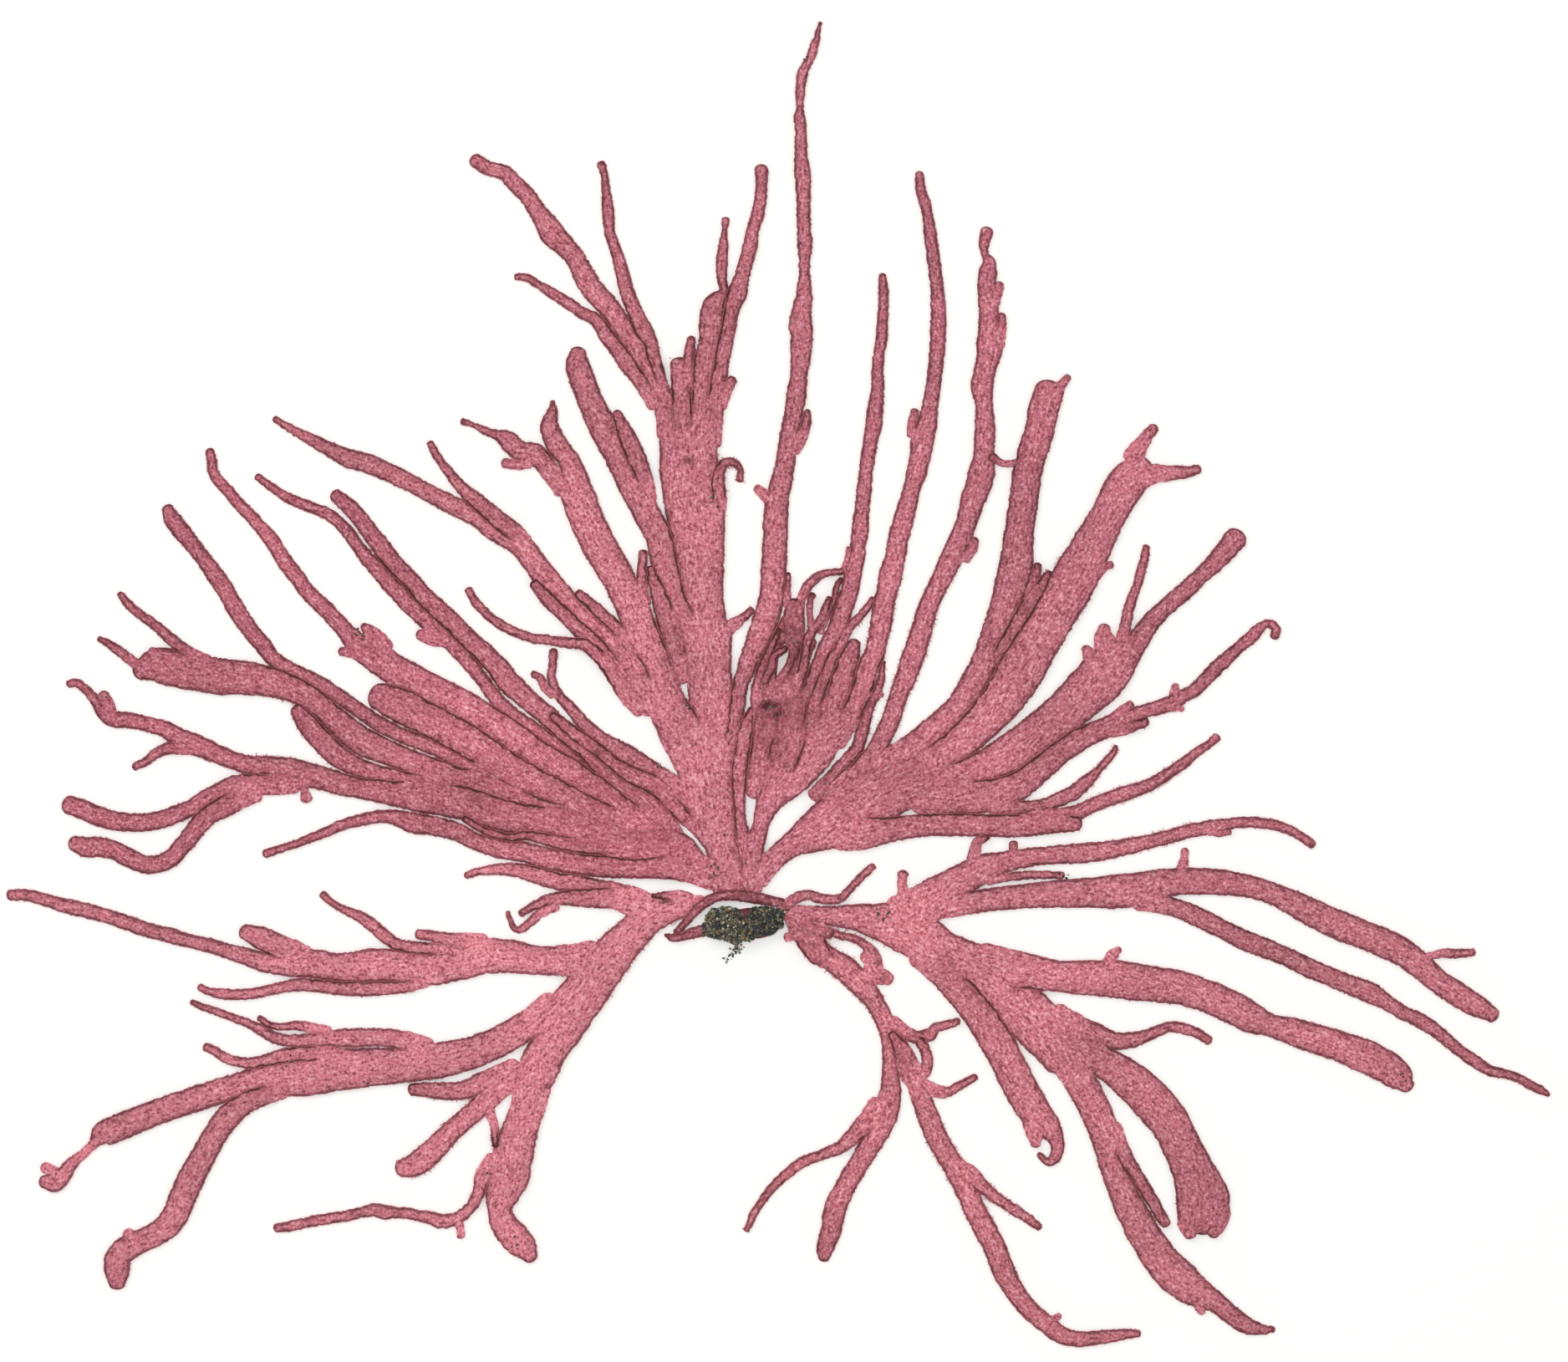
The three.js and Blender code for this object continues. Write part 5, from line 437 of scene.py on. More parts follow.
def smoothCourse(points):
    # evenly spaced points on a smooth curve through the course, with the width carried along
    pts = np.array(points, float)
    if len(pts) == 2:
        pts = np.array([pts[0], (pts[0] + pts[1]) / 2, pts[1]])
    ahead = 2 * pts[0] - pts[1]
    behind = 2 * pts[-1] - pts[-2]
    ext = np.vstack([ahead, pts, behind])
    fine = []
    for i in range(1, len(ext) - 2):
        p0, p1, p2, p3 = ext[i - 1:i + 3]
        count = max(2, int(np.hypot(*(p2 - p1)[:2]) / strap["fine"]))
        for t in np.linspace(0, 1, count, endpoint=False):
            a = 2 * p1
            b = (p2 - p0) * t
            c = (2 * p0 - 5 * p1 + 4 * p2 - p3) * t * t
            d = (-p0 + 3 * p1 - 3 * p2 + p3) * t ** 3
            fine.append((a + b + c + d) / 2)
    fine.append(pts[-1])
    fine = np.array(fine)
    lengths = np.concatenate([[0], np.cumsum(np.hypot(*np.diff(fine[:, :2], axis=0).T))])
    total = lengths[-1]
    tipReach = fine[0, 2] * strap["tip"]
    rootReach = fine[-1, 2] * strap["root"]
    cap = [-tipReach * math.cos(k / strap["capRows"] * math.pi / 2) for k in range(strap["capRows"])]
    body = list(np.linspace(0, total, max(3, int(total / strap["step"]))))
    last = strap["rootRows"]
    tail = [total + rootReach * math.sin(k / last * math.pi / 2) for k in range(1, last + 1)]
    rows = []
    for at in cap + body + tail:
        inside = min(max(at, 0), total)
        x, y, w = (np.interp(inside, lengths, fine[:, k]) for k in range(3))
        low, high = max(0, inside - strap["turnOver"]), min(total, inside + strap["turnOver"])
        tangent = Vector([np.interp(high, lengths, fine[:, k]) - np.interp(low, lengths, fine[:, k])
                          for k in (0, 1)]).normalized()
        over = at - inside
        x += tangent.x * over
        y += tangent.y * over
        full = 1.0
        if over < 0:
            full = math.sqrt(max(0.0, 1 - (over / tipReach) ** 2))
        elif over > 0:
            full = math.sqrt(max(0.0, 1 - (over / rootReach) ** 2))
        rows.append((x, y, tangent.x, tangent.y, w, full, at + tipReach, total - at))
    return np.array(rows)


class HeightMap:
    # how high the straps already lie, cell by cell, so that the next strap drapes over them
    def __init__(self):
        self.left = cadLow.x / mm - stack["margin"]
        self.low = cadLow.y / mm - stack["margin"]
        self.columns = int((cadHigh.x / mm + stack["margin"] - self.left) / stack["cell"]) + 1
        self.rows = int((cadHigh.y / mm + stack["margin"] - self.low) / stack["cell"]) + 1
        self.tops = np.zeros((self.rows, self.columns))
        self.layers = np.zeros((self.rows, self.columns))

    def cells(self, x, y):
        column = np.clip(((x - self.left) / stack["cell"]).round().astype(int), 0, self.columns - 1)
        row = np.clip(((y - self.low) / stack["cell"]).round().astype(int), 0, self.rows - 1)
        return row, column

    def smoothed(self, field):
        wide = field.copy()
        for axis in (0, 1):
            wide = np.maximum(wide, np.maximum(np.roll(wide, 1, axis), np.roll(wide, -1, axis)))
        for axis in (0, 1):
            wide = (wide * 2 + np.roll(wide, 1, axis) + np.roll(wide, -1, axis)) / 4
        return wide

    def sample(self, field, x, y):
        fx = np.clip((x - self.left) / stack["cell"], 0, self.columns - 1.001)
        fy = np.clip((y - self.low) / stack["cell"], 0, self.rows - 1.001)
        ix, iy = fx.astype(int), fy.astype(int)
        tx, ty = fx - ix, fy - iy
        lower = field[iy, ix] * (1 - tx) + field[iy, ix + 1] * tx
        upper = field[iy + 1, ix] * (1 - tx) + field[iy + 1, ix + 1] * tx
        return lower * (1 - ty) + upper * ty

    def add(self, x, y, tops):
        row, column = self.cells(x.ravel(), y.ravel())
        np.maximum.at(self.tops, (row, column), tops.ravel())
        once = np.zeros_like(self.layers)
        once[row, column] = 1
        self.layers += once


heights = HeightMap()


def smoothstep(value, low, high):
    t = np.clip((value - low) / (high - low), 0, 1)
    return t * t * (3 - 2 * t)


def strapShape(points, seed):
    # the strap's grid of points: rows along it, columns across it
    rows = smoothCourse(points)
    x, y, tx, ty, width, full, fromTip, fromRoot = rows.T
    columns = strap["columns"] if width.max() > strap["slimWidth"] else strap["columnsSlim"]
    across = np.sin(np.linspace(-1, 1, columns + 1) * math.pi / 2)
    half = np.empty((len(rows), 2))
    for side in (0, 1):
        for i in range(len(rows)):
            at = fromTip[i]
            slow = noise.noise(Vector((at / strap["wavePitch"], seed * 3.7, side * 9.1)))
            quick = noise.noise(Vector((at * strap["raggedPitch"], seed * 1.3, side * 5.3)))
            half[i, side] = (width[i] / 2 * (1 + strap["waviness"] * slow) + strap["ragged"] * quick)
    half = np.maximum(half + strap["spread"], strap["slimmest"]) * full[:, None]
    reach = np.where(across[None, :] < 0, half[:, :1], half[:, 1:]) * across[None, :]
    px = x[:, None] - ty[:, None] * reach
    py = y[:, None] + tx[:, None] * reach
    margin = np.where(across[None, :] < 0, half[:, :1], half[:, 1:]) * (1 - np.abs(across[None, :]))
    margin = np.minimum(margin, fromTip[:, None])
    thin = strap["endThickness"]
    thickness = np.clip(strap["thicknessGain"] * width + strap["thicknessBase"],
                        strap["thinnest"], strap["thickest"]) * (thin + (1 - thin) * full)
    return {"x": px, "y": py, "across": across, "reach": reach, "margin": margin, "along": fromTip,
            "fromRoot": fromRoot, "thickness": thickness, "width": width, "centre": rows[:, :2]}


def rootLengthOf(shape):
    return strap["rootLength"] + strap["rootGain"] * shape["width"][-4]


def drape(shape):
    # lays the strap on the ground or on the straps below it, and notes it in the height map
    x, y = shape["x"], shape["y"]
    wave = np.sin(x / ground["pitchX"] + ground["phase"]) * np.cos(y / ground["pitchY"])
    floor = ground["height"] + ground["swell"] * wave
    below = heights.sample(heights.smoothed(heights.tops), x, y)
    layers = heights.sample(heights.layers, x, y)
    root = rootLengthOf(shape)
    risen = smoothstep(shape["fromRoot"], strap["rootRise"] * root, root)[:, None]
    under = np.maximum(floor, floor + (below - floor) * risen)
    room = np.clip(1 - under / stack["tallest"], stack["thinned"], 1)
    thick = shape["thickness"][:, None] * room
    bow = np.abs(shape["across"])[None, :]
    edge = strap["edgeHeight"]
    top = under + thick * (edge + (1 - edge) * (1 - bow ** 3)) + strap["edgeHalf"]
    bottom = under + thick * edge * bow ** 4 - strap["edgeHalf"] * bow ** 4
    shape["top"] = top
    shape["bottom"] = np.maximum(0, np.minimum(bottom, top - 2 * strap["edgeHalf"]))
    shape["layers"] = np.clip(layers, 0, stack["most"]) * risen
    heights.add(x, y, top)


opening = {"disc": 0.42, "from": 0.5, "to": 1.1, "edge": 0.25, "chunk": 400}


def rootDiscs(shapes):
    # where a branch leaves its parent the tissue runs on, with no dark margin across it
    discs = []
    for number, shape in enumerate(shapes):
        root = rootLengthOf(shape)
        near = shape["fromRoot"] < root
        for (cx, cy), width in zip(shape["centre"][near], shape["width"][near]):
            discs.append((cx, cy, width * opening["disc"], number))
    return np.array(discs)


def clearRoots(shapes):
    discs = rootDiscs(shapes)
    for number, shape in enumerate(shapes):
        root = rootLengthOf(shape)
        fade = smoothstep(shape["fromRoot"], opening["from"] * root, opening["to"] * root)[:, None]
        others = discs[discs[:, 3] != number]
        x, y = shape["x"], shape["y"]
        cleared = np.zeros_like(x)
        for start in range(0, len(others), opening["chunk"]):
            part = others[start:start + opening["chunk"]]
            gap = part[:, 2] - np.hypot(x[..., None] - part[:, 0], y[..., None] - part[:, 1])
            cleared = np.maximum(cleared, np.clip(gap.max(axis=2) / opening["edge"], 0, 1))
        shape["clear"] = np.maximum(1 - fade, cleared)


# painted shade, darker where tissue is crumpled or lies double: x,y,radius in mm,strength
doubledShadePatches = parseCourses("""
5,28.6,2,0.5 5.2,26.2,1.8,0.45 2.7,20.9,1.5,1 2.2,17.4,2.6,0.4 6.6,19.6,1.6,0.3 7.4,23,1.7,0.35
8.3,13.3,1,0.6 7.2,12.2,0.9,0.4 13.7,-4.7,1.1,0.6 14.3,-6.8,0.9,0.5 7.1,-1.9,1.1,0.6 6.7,-3.6,1,0.5
5.3,-1.4,1.1,0.35 16.6,-15.4,1.5,0.5 17.6,-13,1,0.4 -7.4,28.3,1.1,0.4 -7.9,25.6,0.9,0.45
-5.6,46.2,0.6,0.9 -27.4,11.5,0.8,0.5 -14.9,16.4,0.9,0.6 0.2,1.6,1.5,0.4 -2.8,3.6,1.1,0.3
5.2,0.4,0.9,0.3 -12.6,26.4,1.1,0.4 -10.8,21.9,0.9,0.35 29,31,1,0.35 -23.6,-26.6,0.9,0.35
12.6,-3.1,1,0.4 12.9,-9.2,0.7,0.35 39.4,18.7,0.8,0.3
""")[0]


doubledShadeEdge = {"ends": 1.4, "full": 0.25, "fade": 0.9, "rough": 0.9, "scale": 1.3, "shift": Vector((0, 0, 7))}


# how much painted shade of crumpled or doubled tissue falls at a point
def doubledShadeAt(x, y):
    total = 0.0
    for sx, sy, radius, strength in doubledShadePatches:
        away = math.hypot(x - sx, y - sy) / radius
        if away < doubledShadeEdge["ends"]:
            place = Vector((x, y, 0)) * doubledShadeEdge["scale"] + doubledShadeEdge["shift"]
            away += doubledShadeEdge["rough"] * noise.noise(place) - doubledShadeEdge["full"]
            total += strength * (1 - min(1.0, max(0.0, away / doubledShadeEdge["fade"])))
    return min(1.0, total)


outer = {"from": 22, "over": 30, "darker": 0.09}


def outerTone(x, y):
    # the tissue is a little darker away from the holdfast
    share = min(1.0, max(0.0, (math.hypot(x, y) - outer["from"]) / outer["over"]))
    return 1 - outer["darker"] * share


def addStrap(mesh, layers, shape, tone):
    columns = len(shape["across"]) - 1
    rows = len(shape["along"]) - 1
    grid = bmesh.ops.create_grid(mesh, x_segments=columns, y_segments=rows, size=1.0)
    verts = grid["verts"]
    place = {}
    for vert in verts:
        i = round((vert.co.y + 1) / 2 * rows)
        j = round((vert.co.x + 1) / 2 * columns)
        place[vert] = (i, j)
        vert[layers["row"]] = i
        vert[layers["column"]] = j
        vert[layers["margin"]] = shape["margin"][i, j]
        vert[layers["clear"]] = shape["clear"][i, j]
        vert[layers["stacked"]] = shape["layers"][i, j]
        vert[layers["tone"]] = tone * outerTone(shape["x"][i, j], shape["y"][i, j])
        # painted shade of crumpled or doubled tissue
        vert[layers["doubledShade"]] = doubledShadeAt(shape["x"][i, j], shape["y"][i, j])
    faces = list({face for vert in verts for face in vert.link_faces})
    out = bmesh.ops.extrude_face_region(mesh, geom=faces)
    lower = [item for item in out["geom"] if isinstance(item, bmesh.types.BMVert)]
    for vert, (i, j) in place.items():
        vert.co = (shape["x"][i, j] * mm, shape["y"][i, j] * mm, shape["top"][i, j] * mm)
    for vert in lower:
        i, j = round(vert[layers["row"]]), round(vert[layers["column"]])
        vert.co = (shape["x"][i, j] * mm, shape["y"][i, j] * mm, shape["bottom"][i, j] * mm)
    shell = list({face for vert in verts + lower for face in vert.link_faces})
    for face in shell:
        face.smooth = True
        for loop in face.loops:
            i, j = round(loop.vert[layers["row"]]), round(loop.vert[layers["column"]])
            loop[layers["uv"]].uv = (shape["reach"][i, j], shape["along"][i])
    bmesh.ops.recalc_face_normals(mesh, faces=shell)


# fine bristles on the margins, longest near the fringed spots: x, y, reach
bristles = {
    "chance": 0.16,
    "fringedChance": 0.6,
    "length": (0.1, 0.24),
    "fringedLength": (0.16, 0.46),
    "half": 0.05,
    "fringed": [(-9.5, -4.5, 6), (10.5, -6.5, 5), (13.5, 24, 6), (19, 30, 5), (-2, 44, 4), (24, -26, 6),
                (-30, -24, 6), (41, 12, 6), (-45, 17, 6), (34, 33, 4)],
    "bare": 3,  # rows without bristles at either end
    "sway": 0.35,
    "lift": 0.15,
    "sunk": 0.08,  # mm of a bristle's foot inside the margin
    "tip": 0.3,  # thickness of the tip, as a share
    "clearest": 0.3,
}


def bristlesOf(shape, draws):
    # foot, tip and half width of each bristle on one strap's two margins
    found = []
    x, y, top, bottom = shape["x"], shape["y"], shape["top"], shape["bottom"]
    for i in range(bristles["bare"], len(shape["along"]) - bristles["bare"]):
        for side, inner in ((0, 1), (-1, -2)):
            px, py = x[i, side], y[i, side]
            fringed = any(math.hypot(px - fx, py - fy) < reach for fx, fy, reach in bristles["fringed"])
            chance = bristles["fringedChance" if fringed else "chance"]
            if draws.random() > chance or shape["clear"][i, side] > bristles["clearest"]:
                continue
            length = draws.uniform(*bristles["fringedLength" if fringed else "length"]) * draws.uniform(0.5, 1)
            way = Vector((px - x[i, inner], py - y[i, inner], 0)).normalized()
            sway = [draws.gauss(0, bristles["sway"]) for _ in (0, 1)]
            way = (way + Vector((*sway, draws.uniform(0, bristles["lift"])))).normalized()
            half = bristles["half"] * draws.uniform(0.7, 1.3)
            foot = Vector((px, py, max(half, (top[i, side] + bottom[i, side]) / 2))) - way * bristles["sunk"]
            found.append((foot, foot + way * length, half))
    return found


def addBristles(mesh, layers, found):
    # one row of separate quads, thickened together: two columns of points to a bristle
    grid = bmesh.ops.create_grid(mesh, x_segments=2 * len(found) - 1, y_segments=1, size=1.0)
    verts = grid["verts"]
    number = {}
    for vert in verts:
        number[vert] = (round((vert.co.x + 1) / 2 * (2 * len(found) - 1)), vert.co.y > 0)
        vert[layers["row"]], vert[layers["column"]] = number[vert]
        vert[layers["margin"]] = 0.05
        # a little painted overlap shade on the bristles
        vert[layers["stacked"]] = 0.3
        vert[layers["tone"]] = 1.0
    faces = list({face for vert in verts for face in vert.link_faces})
    between = [face for face in faces if min(number[vert][0] for vert in face.verts) % 2]
    bmesh.ops.delete(mesh, geom=between, context="FACES_ONLY")
    loose = list({edge for vert in verts for edge in vert.link_edges if not edge.link_faces})
    bmesh.ops.delete(mesh, geom=loose, context="EDGES")
    faces = list({face for vert in verts for face in vert.link_faces})
    out = bmesh.ops.extrude_face_region(mesh, geom=faces)
    lower = [item for item in out["geom"] if isinstance(item, bmesh.types.BMVert)]
    for level, group in ((1, verts), (-1, lower)):
        for vert in group:
            column, left = round(vert[layers["row"]]), round(vert[layers["column"]])
            foot, tip, half = found[column // 2]
            aside = Vector((foot.y - tip.y, tip.x - foot.x, 0)).normalized() * half * (1 if left else -1)
            end, share = (tip, bristles["tip"]) if column % 2 else (foot, 1.0)
            vert.co = (end + aside * share + Vector((0, 0, half * level * share))) * mm
    shell = list({face for vert in verts + lower for face in vert.link_faces})
    bmesh.ops.recalc_face_normals(mesh, faces=shell)


def newFrondMesh():
    mesh = bmesh.new()
    floats = mesh.verts.layers.float
    names = ("row", "column", "margin", "clear", "stacked", "tone", "doubledShade")
    layers = {name: floats.new(name) for name in names}
    layers["uv"] = mesh.loops.layers.uv.new("course")
    return mesh, layers


def finishPiece(mesh, name, material, replaced):
    data = bpy.data.meshes.new(name)
    mesh.to_mesh(data)
    mesh.free()
    piece = bpy.data.objects.new(name, data)
    bpy.context.scene.collection.objects.link(piece)
    piece.data.materials.append(material)
    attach(piece, "root")
    if replaced:
        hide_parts(replaced)
    print(name, "faces:", len(data.polygons))
    return piece


# materials

def linear(red, green, blue):
    # a colour read as 0 to 255, as light
    out = []
    for part in (red, green, blue):
        part = part / 255
        out.append(part / 12.92 if part <= 0.04045 else ((part + 0.055) / 1.055) ** 2.4)
    return (*out, 1.0)


class Graph:
    # short calls for a material's nodes
    def __init__(self, name):
        self.material = bpy.data.materials.new(name)
        self.material.use_nodes = True
        self.nodes = self.material.node_tree.nodes
        self.links = self.material.node_tree.links
        self.shader = self.nodes["Principled BSDF"]

    def put(self, kind, inputs=None, **settings):
        node = self.nodes.new(kind)
        for key, value in settings.items():
            setattr(node, key, value)
        for key, value in (inputs or {}).items():
            socket = node.inputs[key]
            if isinstance(value, bpy.types.NodeSocket):
                self.links.new(value, socket)
            else:
                socket.default_value = value
        return node

    def math(self, operation, first, second=0.0, clamp=False):
        node = self.put("ShaderNodeMath", {0: first, 1: second}, operation=operation, use_clamp=clamp)
        return node.outputs[0]

    def ranged(self, value, low, high, toLow=0.0, toHigh=1.0):
        node = self.put("ShaderNodeMapRange", {"Value": value, "From Min": low, "From Max": high,
                                               "To Min": toLow, "To Max": toHigh},
                        interpolation_type="SMOOTHSTEP")
        return node.outputs["Result"]

    def attribute(self, name):
        return self.put("ShaderNodeAttribute", attribute_name=name).outputs["Fac"]

    def noise(self, vector, scale, detail=2.0, roughness=0.55, distortion=0.0):
        node = self.put("ShaderNodeTexNoise", {"Vector": vector, "Scale": scale, "Detail": detail,
                                               "Roughness": roughness, "Distortion": distortion})
        return node.outputs["Fac"]

    def blend(self, factor, first, second, kind="MIX"):
        node = self.put("ShaderNodeMix", data_type="RGBA", blend_type=kind)
        for key, value in ((0, factor), (6, first), (7, second)):
            if isinstance(value, bpy.types.NodeSocket):
                self.links.new(value, node.inputs[key])
            else:
                node.inputs[key].default_value = value
        return node.outputs[2]

    def finish(self, colour, roughness, bump=None, bumpStrength=0.2, bumpDistance=0.00005):
        self.links.new(colour, self.shader.inputs["Base Color"])
        self.shader.inputs["Roughness"].default_value = roughness
        if bump is not None:
            node = self.put("ShaderNodeBump", {"Height": bump, "Strength": bumpStrength,
                                               "Distance": bumpDistance})
            self.links.new(node.outputs["Normal"], self.shader.inputs["Normal"])
        return self.material


tissue = {
    "paleFleck": linear(238, 176, 186),
    "darkFleck": linear(122, 56, 68),
    "marginDarkAndShade": linear(78, 44, 43),
    # the margin's own dark colour, also used for painted shade along the margin and in creases
    "rim": linear(188, 86, 102),
    # painted shade where tissue lies over other straps
    "stackedShade": linear(128, 56, 66),
    # colour of the painted shade of crumpled or doubled tissue
    "doubledShade": linear(84, 42, 46),
    "pale": (0.5, 0.64, 0.0, 0.82),  # grain values over which the flecks come in, and how strongly
    "dark": (0.5, 0.38, 0.0, 0.85),
    "line": (0.36, 0.17),  # mm from the margin, over which the dark line comes in: the margin's own dark colour
    # painted crease shade: the dark line deepens where the strap lies over others
    "lineDeep": (0.2, 0.8, 0.66, 1.0),
    "rimWide": 0.1,
    # painted shade, darker towards the margin
    "shade": (1.3, 0.3, 0.0, 0.16),
    "feltScale": 3400.0,
    "coarseScale": 1100.0,
    "cloudScale": 90.0,
}


def tissueMaterial(name, base):
    g = Graph(name)
    place = g.put("ShaderNodeTexCoord").outputs["Object"]
    course = g.put("ShaderNodeUVMap", uv_map="course").outputs["UV"]
    fibreSpace = g.put("ShaderNodeMapping", {"Vector": course, "Scale": (3.6, 1.1, 1.0)}).outputs["Vector"]
    felt = g.noise(place, tissue["feltScale"], 3.0, 0.6)
    coarse = g.noise(place, tissue["coarseScale"], 2.0, 0.5)
    cloud = g.noise(place, tissue["cloudScale"], 2.0, 0.5)
    fibre = g.noise(fibreSpace, 1.0, 3.0, 0.6, 0.4)
    grain = g.math("ADD", g.math("MULTIPLY", felt, 0.6), g.math("MULTIPLY", fibre, 0.4))
    pale = g.ranged(grain, *tissue["pale"])
    dark = g.ranged(grain, *tissue["dark"])
    colour = g.blend(pale, base, tissue["paleFleck"])
    colour = g.blend(dark, colour, tissue["darkFleck"])
    light = g.math("ADD", g.ranged(cloud, 0.3, 0.7, 0.9, 1.12), g.ranged(coarse, 0.3, 0.7, -0.06, 0.06))
    light = g.math("MULTIPLY", light, g.attribute("tone"))
    margin = g.attribute("margin")
    broken = g.math("ADD", margin, g.math("MULTIPLY", g.math("SUBTRACT", coarse, 0.5), 0.5))
    line = g.math("MULTIPLY", g.ranged(broken, *tissue["line"]), g.ranged(margin, 0.0, tissue["rimWide"]))
    seen = g.math("SUBTRACT", 1.0, g.attribute("clear"), clamp=True)
    # painted crease shade deepens the margin's own dark line where the strap lies over others
    deep = g.ranged(g.attribute("stacked"), *tissue["lineDeep"])
    line = g.math("MULTIPLY", g.math("MULTIPLY", line, seen), deep)
    # painted shade, darker towards the margin
    shade = g.math("MULTIPLY", g.ranged(broken, *tissue["shade"]), seen)
    # painted shade where the strap lies over others, darker for each strap below
    stacked = g.math("MULTIPLY", g.attribute("stacked"), stack["darken"], clamp=True)
    colour = g.blend(stacked, colour, tissue["stackedShade"])
    colour = g.blend(shade, colour, tissue["marginDarkAndShade"])
    colour = g.blend(line, colour, tissue["marginDarkAndShade"])
    # painted shade where tissue is crumpled or lies double, broken up by noise
    doubledShade = g.math("MULTIPLY", g.attribute("doubledShade"), g.ranged(coarse, 0.4, 0.58, 0.35, 1.0))
    colour = g.blend(doubledShade, colour, tissue["doubledShade"])
    rim = g.math("MULTIPLY", g.ranged(margin, tissue["rimWide"], 0.0, 0.0, 0.8), seen)
    colour = g.blend(rim, colour, tissue["rim"])
    lit = g.put("ShaderNodeHueSaturation", {"Color": colour, "Value": light}).outputs["Color"]
    g.shader.inputs["Specular IOR Level"].default_value = 0.12
    return g.finish(lit, 0.82, grain, 0.35, 0.00006)


tissueColours = {
    "frond_centre": linear(200, 116, 128),
    "frond_left_fan": linear(194, 108, 122),
    "frond_left_low": linear(208, 122, 134),
    "frond_right_fan": linear(194, 111, 124),
    "frond_right_low": linear(197, 114, 125),
    "frond_low_centre": linear(198, 114, 124),
}

fronds = {}
allShapes = []
for name, text in frondCourses.items():
    shapes = []
    for number, points in enumerate(parseCourses(text)):
        shape = strapShape(points, len(allShapes) + number)
        drape(shape)
        shapes.append(shape)
    fronds[name] = shapes
    allShapes.extend(shapes)
print("straps laid:", len(allShapes))
clearRoots(allShapes)

draw = random.Random(11)
for name, shapes in fronds.items():
    mesh, layers = newFrondMesh()
    for shape in shapes:
        addStrap(mesh, layers, shape, 1 + draw.uniform(-0.05, 0.05))
    addBristles(mesh, layers, [bristle for shape in shapes for bristle in bristlesOf(shape, draw)])
    material = tissueMaterial(name + "_tissue", tissueColours[name])
    finishPiece(mesh, name + "_blades", material, name)


# the holdfast and its crust of sediment

crust = {
    "outlines": {
        "sediment_left": [(-3.4, 0.3), (-2.2, 0.6), (-0.7, 0.3), (0.3, -0.7), (0.4, -2.8), (-0.8, -3.3),
                          (-2.6, -2.9), (-4.5, -2.2), (-4.2, -1.2)],
        "sediment_right": [(0.7, 0.4), (2.3, 0.5), (4.1, 0.2), (4.0, -1.7), (2.0, -2.4), (0.5, -3.0),
                           (0.25, -0.9)],
    },
    "grains": 1250,
    "paleness": {"sediment_left": 0.75, "sediment_right": 1.5},  # above 1: more dark grains
    "smallest": 0.06,
    "largest": 0.2,
    "foot": 1.15,  # height of the crust's underside
    "height": 1.35,
    "core": (0.8, 0.8, 0.26),  # size of the core inside the grains, as a share of the CAD lump
    "slope": 0.9,  # mm from the rim over which the lump rises
    "dent": 0.16,  # how uneven a grain is, as a share of its radius
}


def inside(point, outline):
    x, y = point
    hit = False
    for (x1, y1), (x2, y2) in zip(outline, outline[1:] + outline[:1]):
        if (y1 > y) != (y2 > y) and x < (x2 - x1) * (y - y1) / (y2 - y1) + x1:
            hit = not hit
    return hit


def rimDistance(point, outline):
    best = 99.0
    p = Vector(point)
    for a, b in zip(outline, outline[1:] + outline[:1]):
        a, b = Vector(a), Vector(b)
        t = max(0.0, min(1.0, (p - a).dot(b - a) / (b - a).length_squared))
        best = min(best, (p - a.lerp(b, t)).length)
    return best


def addGrain(mesh, layer, x, y, z, radius, draws, paleness=1.0):
    turn = Matrix.Rotation(draws.uniform(0, 6.28), 4, Vector((draws.uniform(-1, 1), draws.uniform(-1, 1), 1)))
    stretch = Matrix.Diagonal((draws.uniform(0.8, 1.3), draws.uniform(0.8, 1.2), draws.uniform(0.7, 1.1), 1))
    place = Matrix.Translation(Vector((x, y, z)) * mm) @ turn @ stretch
    out = bmesh.ops.create_icosphere(mesh, subdivisions=1, radius=radius * mm, matrix=place)
    kind = draws.random() ** paleness
    for vert in out["verts"]:
        push = Vector([draws.uniform(-1, 1) for _ in range(3)])
        vert.co += push * radius * crust["dent"] * mm
        vert[layer] = kind


def sedimentMaterial():
    g = Graph("sediment_grains")
    place = g.put("ShaderNodeTexCoord").outputs["Object"]
    kind = g.attribute("grain")
    ramp = g.put("ShaderNodeValToRGB", {"Fac": kind})
    ramp.color_ramp.interpolation = "CONSTANT"
    stops = [(0.0, linear(40, 42, 42)), (0.24, linear(74, 72, 60)), (0.46, linear(50, 54, 60)),
             (0.6, linear(110, 104, 80)), (0.78, linear(134, 112, 74)), (0.86, linear(122, 122, 106)),
             (0.965, linear(196, 188, 164))]
    elements = ramp.color_ramp.elements
    elements[0].position, elements[0].color = stops[0]
    elements[1].position, elements[1].color = stops[1]
    for position, colour in stops[2:]:
        elements.new(position).color = colour
    fine = g.noise(place, 5200.0, 2.0)
    value = g.ranged(fine, 0.3, 0.7, 0.7, 1.25)
    lit = g.put("ShaderNodeHueSaturation", {"Color": ramp.outputs["Color"], "Value": value}).outputs["Color"]
    return g.finish(lit, 0.75, fine, 0.4, 0.00004)


